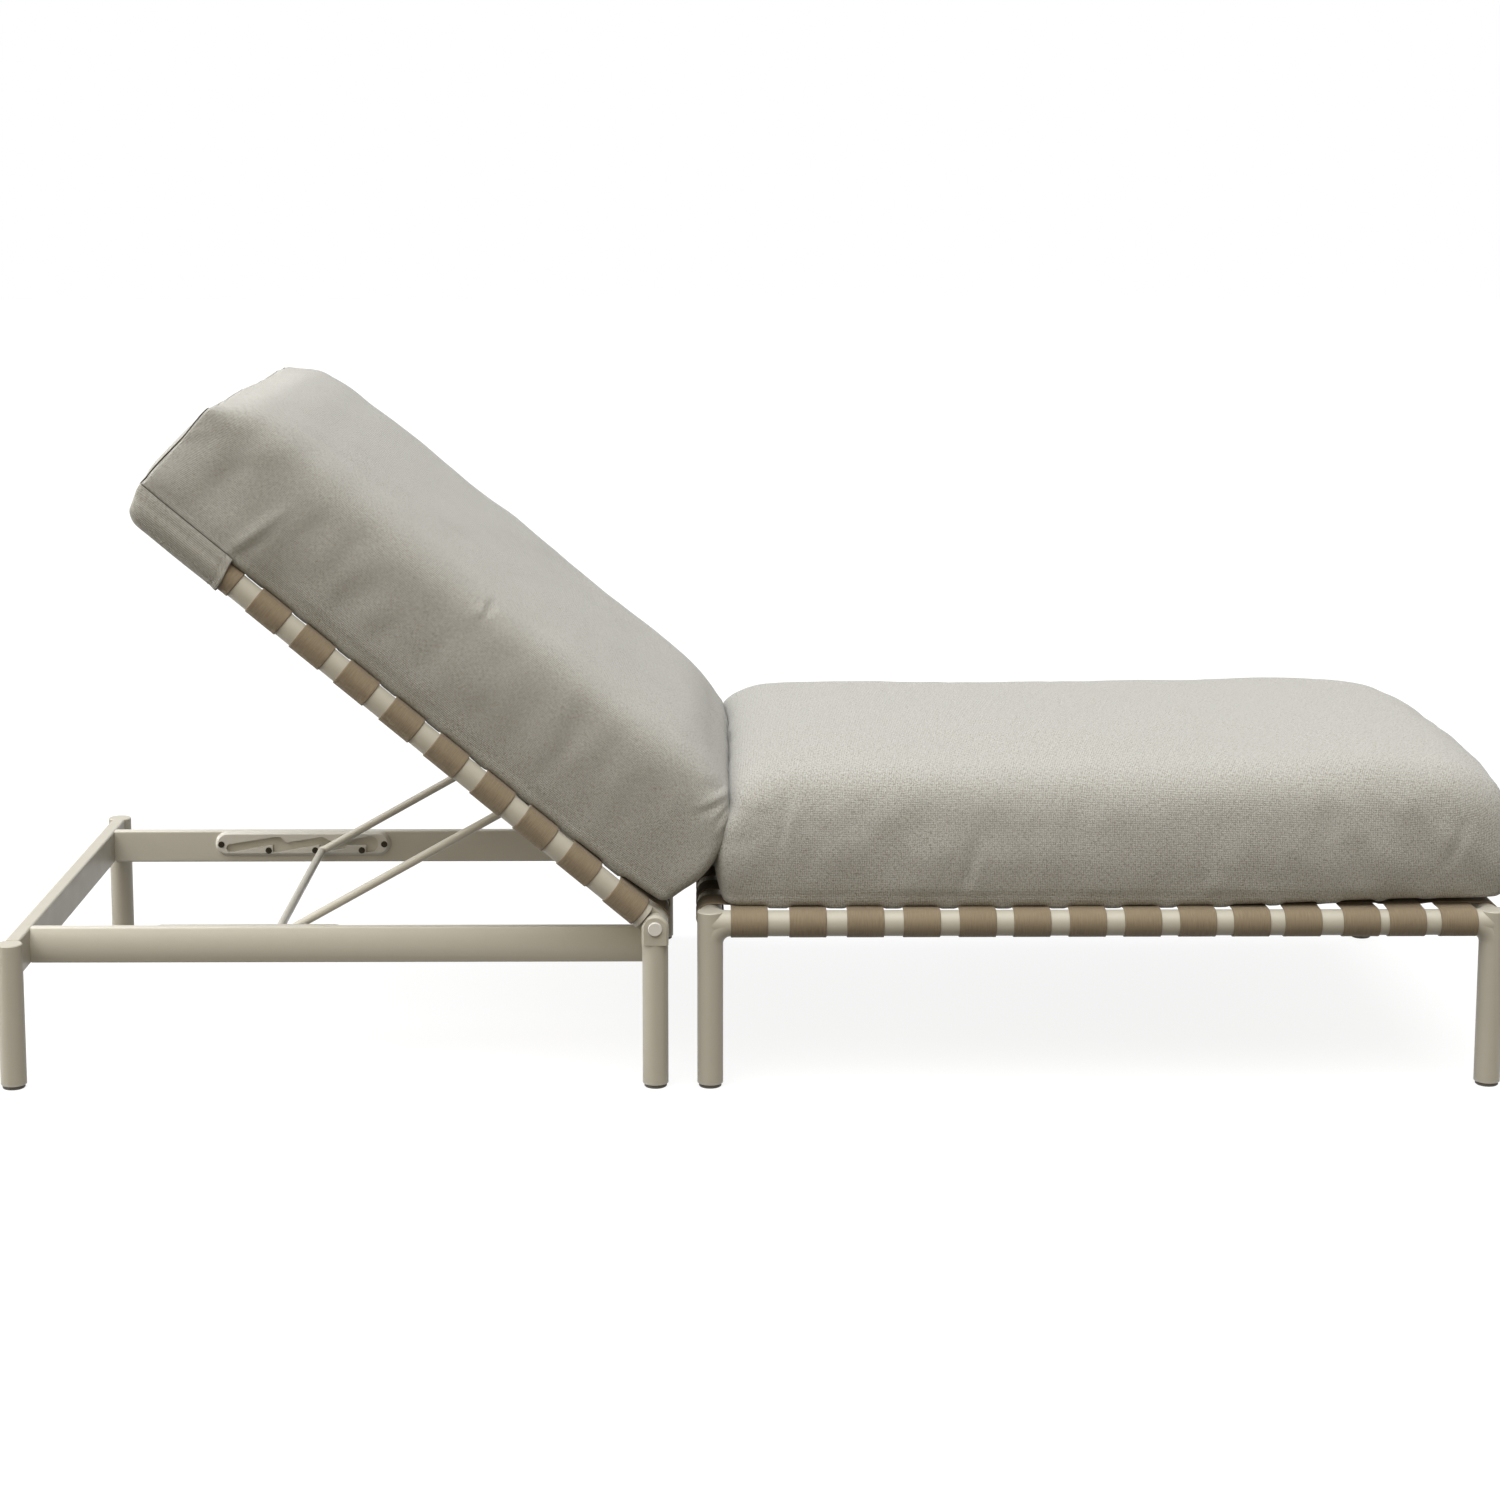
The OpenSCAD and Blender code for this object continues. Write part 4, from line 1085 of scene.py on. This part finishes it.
BACK_FOLDS_FAR = [
    ([(0.760, 0.026), (0.750, 0.075), (0.742, 0.130)], 0.0095, -0.0024, 0.0),
    ([(0.520, 0.194), (0.512, 0.176), (0.508, 0.154)], 0.0060, 0.0020, 0.0010),
    ([(0.018, 0.212), (0.040, 0.178), (0.052, 0.150)], 0.0060, 0.0038, 0.0028, "open"),
    ([(0.020, 0.200), (0.022, 0.168), (0.020, 0.142)], 0.0050, 0.0030, 0.0018, "open"),
    ([(0.640, 0.035), (0.622, 0.090), (0.610, 0.150)], 0.022, 0.0014, 0.0008),
    ([(0.340, 0.035), (0.330, 0.090), (0.300, 0.150)], 0.024, 0.0014, 0.0007),
]
SEAT_FOLDS = [
    ([(0.048, 0.392), (0.040, 0.355), (0.036, 0.318)], 0.0065, 0.0024, 0.0016),
    ([(0.301, 0.338), (0.294, 0.305), (0.288, 0.270)], 0.0075, 0.0021, 0.0010),
    ([(0.270, 0.320), (0.262, 0.296), (0.258, 0.275)], 0.0080, 0.0010, 0.0006),
    ([(0.958, 0.366), (0.950, 0.330), (0.932, 0.296)], 0.0085, 0.0027, 0.0005),
    ([(0.610, 0.300), (0.604, 0.280), (0.600, 0.262)], 0.0100, 0.0011, 0.0007),
    ([(0.780, 0.330), (0.772, 0.300), (0.768, 0.276)], 0.0120, 0.0010, 0.0006),
    ([(-0.030, 0.380), (0.000, 0.374), (0.030, 0.372)], 0.0080, 0.0007, 0.0005),
    ([(-0.036, 0.330), (-0.012, 0.336), (0.004, 0.340)], 0.0070, 0.0006, 0.0004),
]
SEAT_FOLDS_FAR = [
    ([(0.120, 0.392), (0.110, 0.350), (0.105, 0.310)], 0.0075, 0.0018, 0.0012),
    ([(0.450, 0.340), (0.441, 0.305), (0.436, 0.272)], 0.0080, 0.0016, 0.0010),
    ([(0.830, 0.362), (0.816, 0.325), (0.806, 0.290)], 0.0090, 0.0018, 0.0012),
    ([(-0.030, 0.380), (0.000, 0.374), (0.030, 0.372)], 0.0080, 0.0016, 0.0012),
]


def dips(p, y, at, depth, edge):
    """How far the underside sags into the openings between the straps."""
    at = sorted(at)
    run = np.zeros_like(p)
    for i in range(len(at) - 1):
        a, b = at[i] + 0.024, at[i + 1] - 0.024
        run = np.maximum(run, smoothstep(p, a - 0.006, a + 0.005) * smoothstep(-p, -b - 0.006, -b + 0.005))
    across = np.zeros_like(y)
    for i in range(len(ALONG_Y) - 1):
        a, b = ALONG_Y[i] + 0.024, ALONG_Y[i + 1] - 0.024
        across = np.maximum(across, smoothstep(y, a - 0.003, a + 0.010) * smoothstep(-y, -b - 0.003, -b + 0.010))
    rim = np.exp(-((np.abs(y) - 0.3530) / 0.0110) ** 2)
    return run * (depth * across + edge * rim)


def back_detail(co, no):
    a, y, n = co[:, 0], co[:, 1], co[:, 2]
    side = smoothstep(np.abs(y), 0.285, 0.345)
    h = 0.0016 * fbm(co, 7.0, 3) + 0.0006 * fbm(co, 22.0, 4, 2)
    h *= smoothstep(n, 0.022, 0.05) * 0.8 + 0.2
    h += side * np.where(y < 0, strokes(a, n, BACK_FOLDS), strokes(a, n, BACK_FOLDS_FAR))
    # the boxing seam, 16 mm above the bottom edge
    low = np.interp(a, [0.0, 0.14, 0.45, 0.90], [0.0275, 0.0210, 0.0192, 0.0200]) + 0.0165
    h += -0.0009 * np.exp(-((n - low) / 0.0042) ** 2) * smoothstep(np.abs(y), 0.355, 0.362)
    # puckers along the seams of the head panel
    edge = np.exp(-((a - 0.893) / 0.016) ** 2)
    pk = np.sin(2 * math.pi * (y + 0.011 * np.sin(37 * y)) / 0.052) * (np.abs(no[:, 2]) > 0.6)
    pk += np.sin(2 * math.pi * (n + 0.007 * np.sin(61 * n)) / 0.038) * (np.abs(no[:, 1]) > 0.6)
    h += 0.0006 * edge * pk
    under = smoothstep(-no[:, 2], 0.5, 0.9) * smoothstep(-n, -0.034, -0.024)
    rim = 0.0056 + np.interp(a, [0.0, 0.05, 0.14, 0.26], [0.0062, 0.0008, -0.0020, -0.0014])
    return h * (1 - under) + under * dips(a, y, BACK_A, 0.0026, rim)


def seat_detail(co, no):
    x, y, z = co[:, 0], co[:, 1], co[:, 2]
    side = smoothstep(np.abs(y), 0.285, 0.345)
    h = 0.0015 * fbm(co, 6.0, 13) + 0.0006 * fbm(co, 20.0, 14, 2)
    h *= smoothstep(z, 0.247, 0.28) * 0.8 + 0.2
    h += side * np.where(y < 0, strokes(x, z, SEAT_FOLDS), strokes(x, z, SEAT_FOLDS_FAR))
    h += -0.0008 * np.exp(-((z - 0.2615) / 0.0042) ** 2) * smoothstep(np.abs(y), 0.352, 0.360)
    # the top turns down where the back cushion presses on it
    press = np.exp(-((x + 0.038) / 0.017) ** 2) * smoothstep(z, 0.350, 0.385)
    h -= 0.0075 * press * (0.2 + 0.8 * smoothstep(-y, -0.32, -0.12))
    under = smoothstep(-no[:, 2], 0.5, 0.9) * smoothstep(-z, -0.262, -0.250)
    return h * (1 - under) + under * dips(x, y, SEAT_X, 0.0022, 0.0044) * smoothstep(-x, -0.96, -0.86)


V, F, UV, info_b = build_cushion(BACK_SPEC, STEP)
V = shape_back(V)
F, UV = oriented(V, F, UV)
N, M = info_b["N"], info_b["M"]
nrm = vertex_normals(V, F)
hold = smoothstep(-nrm[:, 2], 0.55, 0.85) * smoothstep(-V[:, 2], -0.045, -0.030)
tight = np.maximum(np.exp(-((V[:, 2] - 0.036) / 0.010) ** 2) * (np.abs(V[:, 1]) > 0.33), np.exp(-((V[:, 0] - 0.894) / 0.010) ** 2))
folds = cloth_folds(V, F, hold, tight, 0.022)
print("back folds", np.abs(folds).max(), np.linalg.norm(folds, axis=1).mean())
V = V + folds
back_cushion = cushion_object("back_cushion_cover", V, F, UV, M_CLOTH)
fine_pass(back_cushion, back_detail)
# near-black cord round the head panel: painted shade in the seam's groove
N, M = info_b["N"], info_b["M"]
ring = np.empty(len(back_cushion.data.vertices) * 3, np.float32)
back_cushion.data.vertices.foreach_get("co", ring)
ring = ring.reshape(-1, 3)[(M - 1) * N:M * N].astype(float)
seams = MeshPile()
centre = ring.mean(0)
pts = []
for p in ring:
    top = float(smoothstep(p[2], centre[2] + 0.055, centre[2] + 0.068)) * (abs(p[1]) < 0.352)
    pts.append(p + np.array([0.0004, np.sign(p[1]) * 0.0007 * (1 - top), -0.0022 * top]))
tube_along(seams, pts, 0.0011, close=True)
seam_shade_cord = new_object("head_panel_seam_painted_shade", seams.v, seams.f, M_SEAM_PAINTED_SHADE, seams.uv)
place(back_cushion, back_world_arrays)
place(seam_shade_cord, back_world_arrays)
# the heel's upper corner stays by the seat cushion while the back turns about its hinge
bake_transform(back_cushion)
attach(seam_shade_cord, "back")
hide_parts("back_cushion")

V, F, UV, info_s = build_cushion(SEAT_SPEC, STEP)
V = shape_seat(V)
F, UV = oriented(V, F, UV)
nrm = vertex_normals(V, F)
hold = smoothstep(-nrm[:, 2], 0.55, 0.85) * smoothstep(-V[:, 2], -0.275, -0.260)
tight = np.exp(-((V[:, 2] - 0.262) / 0.010) ** 2) * (np.abs(V[:, 1]) > 0.33)
folds = cloth_folds(V, F, hold, tight, 0.022)
print("seat folds", np.abs(folds).max(), np.linalg.norm(folds, axis=1).mean())
V = V + folds
seat_cushion = cushion_object("seat_cushion_cover", V, F, UV, M_CLOTH)
fine_pass(seat_cushion, seat_detail)
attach(seat_cushion, "base")
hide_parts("seat_cushion")


# ------------------------------------------------------------- head pocket
def build_pocket():
    """Fabric pocket over the head end of the frame: sleeve rows from the hem to the head, and an
    end panel; its top edge is sewn to the cushion's lower edge."""
    seam_n = 0.0268

    # one row of the sleeve: down from the near seam, round the side tube, across and up again
    def row(a, low, tube, seam_y):
        k = 9
        yy, nn = [], []
        p0, p2 = (seam_y, seam_n), (0.375 + tube * math.cos(0.62), tube * math.sin(0.62))
        p1 = (0.5 * (p0[0] + p2[0]) + 0.0022, 0.5 * (p0[1] + p2[1]) + 0.0006)
        for t in np.linspace(0, 1, 5)[:-1]:
            yy.append(p0[0] * (1 - t) ** 2 + 2 * p1[0] * t * (1 - t) + p2[0] * t * t)
            nn.append(p0[1] * (1 - t) ** 2 + 2 * p1[1] * t * (1 - t) + p2[1] * t * t)
        for t in np.linspace(0.62, -math.pi / 2, k)[:-1]:
            yy.append(0.375 + tube * math.cos(t))
            nn.append(min(tube * math.sin(t), 9) if t > -0.9 else tube * math.sin(t) + (low + tube) * (-t - 0.9) / 0.67)
        half = list(zip(yy, nn))
        # between the side tubes it runs a little higher, clear of the side rails when the back is flat
        mid = [(y, low + 0.0012 * (1 - float(smoothstep(abs(y), 0.335, 0.352)))) for y in np.linspace(-0.375, 0.375, 97)]
        pts = [(-y, n) for y, n in half] + mid + half[::-1]
        return np.array([(a, y, n) for y, n in pts])

    stations = [(0.7375, -0.0212, 0.0206), (0.7415, -0.0213, 0.0207), (0.7460, -0.0213, 0.0207),
                (0.7515, -0.0213, 0.0206), (0.7620, -0.0213, 0.0206)]
    stations += [(a, -0.0214 - 0.0005 * math.sin((a - 0.76) / 0.10 * math.pi), 0.0206)
                 for a in np.arange(0.773, 0.862, 0.009)]
    stations += [(0.8700, -0.0219, 0.0204), (0.8757, -0.0210, 0.0198), (0.8809, -0.0187, 0.0188),
                 (0.8853, -0.0151, 0.0172), (0.8887, -0.0106, 0.0150), (0.8906, -0.0062, 0.0122)]
    P = [row(a, low, tube, 0.3868 if a < 0.87 else 0.3868 - 0.003 * (a - 0.87) / 0.02) for a, low, tube in stations]
    cols = len(P[0])
    for r_ in P:                                 # the seam side leans forward with the cushion's edge
        a = r_[:, 0].copy()
        down = smoothstep(-r_[:, 2], -seam_n, 0.012)
        r_[:, 0] += 0.0075 * (1 - down) * smoothstep(-a, -0.80, -0.745) + 0.0105 * (1 - down) * smoothstep(a, 0.86, 0.89)
    # hem: folded double, with a stitched line 7 mm in
    for i, lift in ((0, 0.0008), (1, 0.0010), (2, -0.0002)):
        c = P[i].mean(0)
        out = P[i] - np.array([c[0], 0.0, 0.010])
        out[:, 0] = 0
        out[:, 1] = np.sign(out[:, 1]) * np.clip((np.abs(P[i][:, 1]) - 0.365) / 0.01, 0, 1)
        out[:, 2] = -np.clip((-P[i][:, 2] - 0.002) / 0.01, 0, 1)
        P[i] = P[i] + out * lift
    V = np.concatenate(P)
    F, UV = [], []
    arc = np.concatenate([[0], np.cumsum(np.linalg.norm(np.diff(P[4], axis=0), axis=1))])
    run = [0.0]
    for i in range(1, len(P)):
        run.append(run[-1] + float(np.linalg.norm(P[i][cols // 2] - P[i - 1][cols // 2])))
    for i in range(len(P) - 1):
        for q in range(cols - 1):
            F.append((i * cols + q, i * cols + q + 1, (i + 1) * cols + q + 1, (i + 1) * cols + q))
            UV += [(run[i], arc[q]), (run[i], arc[q + 1]), (run[i + 1], arc[q + 1]), (run[i + 1], arc[q])]
    # end panel over the last row: sides q 0..s, bottom, sides
    last = P[-1]
    base = (len(P) - 1) * cols
    s = 4 + 5
    nb = cols - 1 - 2 * s
    idx = np.full((s + 1, nb + 1), -1)
    Q = np.zeros((s + 1, nb + 1, 3))
    for q in range(s + 1):                      # near side, top (row s) to bottom (row 0)
        idx[s - q, 0] = base + q
        Q[s - q, 0] = last[q]
        idx[s - q, nb] = base + cols - 1 - q
        Q[s - q, nb] = last[cols - 1 - q]
    for q in range(nb + 1):
        idx[0, q] = base + s + q
        Q[0, q] = last[s + q]
    extra = []
    top0, top1 = Q[s, 0], Q[s, nb]
    for b in range(1, nb):
        t = b / nb
        Q[s, b] = top0 * (1 - t) + top1 * t
        Q[s, b, 0] = 0.9015
    for i in range(1, s + 1):
        for b in range(1, nb):
            t, u = b / nb, i / s
            if i < s:
                p = ((1 - u) * Q[0, b] + u * Q[s, b] + (1 - t) * Q[i, 0] + t * Q[i, nb]
                     - ((1 - t) * (1 - u) * Q[0, 0] + t * (1 - u) * Q[0, nb]
                        + (1 - t) * u * Q[s, 0] + t * u * Q[s, nb]))
                p[0] += 0.0045 * math.sin(math.pi * u) * min(1.0, 12 * t * (1 - t))
            else:
                p = Q[s, b]
            idx[i, b] = len(V) + len(extra)
            extra.append(p)
            Q[i, b] = p
    V = np.concatenate([V, np.array(extra)])
    for i in range(s):
        for b in range(nb):
            F.append((idx[i, b], idx[i, b + 1], idx[i + 1, b + 1], idx[i + 1, b]))
            UV += [(Q[i, b][2], Q[i, b][1]), (Q[i, b + 1][2], Q[i, b + 1][1]),
                   (Q[i + 1, b + 1][2], Q[i + 1, b + 1][1]), (Q[i + 1, b][2], Q[i + 1, b][1])]
    return V, F, UV, P


PV, PF, PUV, prow = build_pocket()
sewing = MeshPile()
pocket_seams = MeshPile()
# near-black cord along each pocket seam: painted shade in the seam
for side in (0, -1):                             # seam of the pocket along the cushion's lower edge
    tube_along(pocket_seams, [r_[side] + np.array([0, 0.0006 * (1 if side else -1), 0.0006]) for r_ in prow], 0.0008)
hem_line = prow[3].copy()
arc = np.concatenate([[0], np.cumsum(np.linalg.norm(np.diff(hem_line, axis=0), axis=1))])
pitch, stitch = 0.0046, 0.0031
for i in range(int(arc[-1] / pitch)):
    t0, t1 = i * pitch + 0.0006, i * pitch + 0.0006 + stitch
    p0 = np.array([np.interp(t0, arc, hem_line[:, c]) for c in range(3)])
    p1 = np.array([np.interp(t1, arc, hem_line[:, c]) for c in range(3)])
    mid = 0.5 * (p0 + p1)
    out = np.array([0.0, mid[1] - math.copysign(0.375, mid[1]), mid[2]]) if abs(mid[1]) > 0.375 else np.array([0.0, 0.0, -1.0])
    if mid[2] > 0.012:
        out = np.array([0.0, math.copysign(1.0, mid[1]), 0.0])
    out = out / np.linalg.norm(out)
    sewing.bead(p0 + out * 0.0013, p1 + out * 0.0013, 0.00042, out)
pocket = new_object("head_pocket", PV, PF, M_POCKET_PAINTED_SHADE, PUV)
sub = pocket.modifiers.new("sub", "SUBSURF")
sub.levels = sub.render_levels = 1
solid = pocket.modifiers.new("cloth_thickness", "SOLIDIFY")
solid.thickness = 0.0018
solid.offset = 0.0
bpy.context.view_layer.objects.active = pocket
pocket.select_set(True)
for m in list(pocket.modifiers):
    bpy.ops.object.modifier_apply(modifier=m.name)
pocket.select_set(False)
place(pocket, back_world_arrays)
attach(pocket, "back")
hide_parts("pocket_underside", "pocket_end", "pocket_sides")
pocket_seam_painted_shade = new_object("pocket_seam_painted_shade", pocket_seams.v, pocket_seams.f, M_SEAM_PAINTED_SHADE, pocket_seams.uv)
place(pocket_seam_painted_shade, back_world_arrays)
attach(pocket_seam_painted_shade, "back")
pocket_sewing = new_object("pocket_sewing", sewing.v, sewing.f, M_THREAD, sewing.uv)
place(pocket_sewing, back_world_arrays)
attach(pocket_sewing, "back")
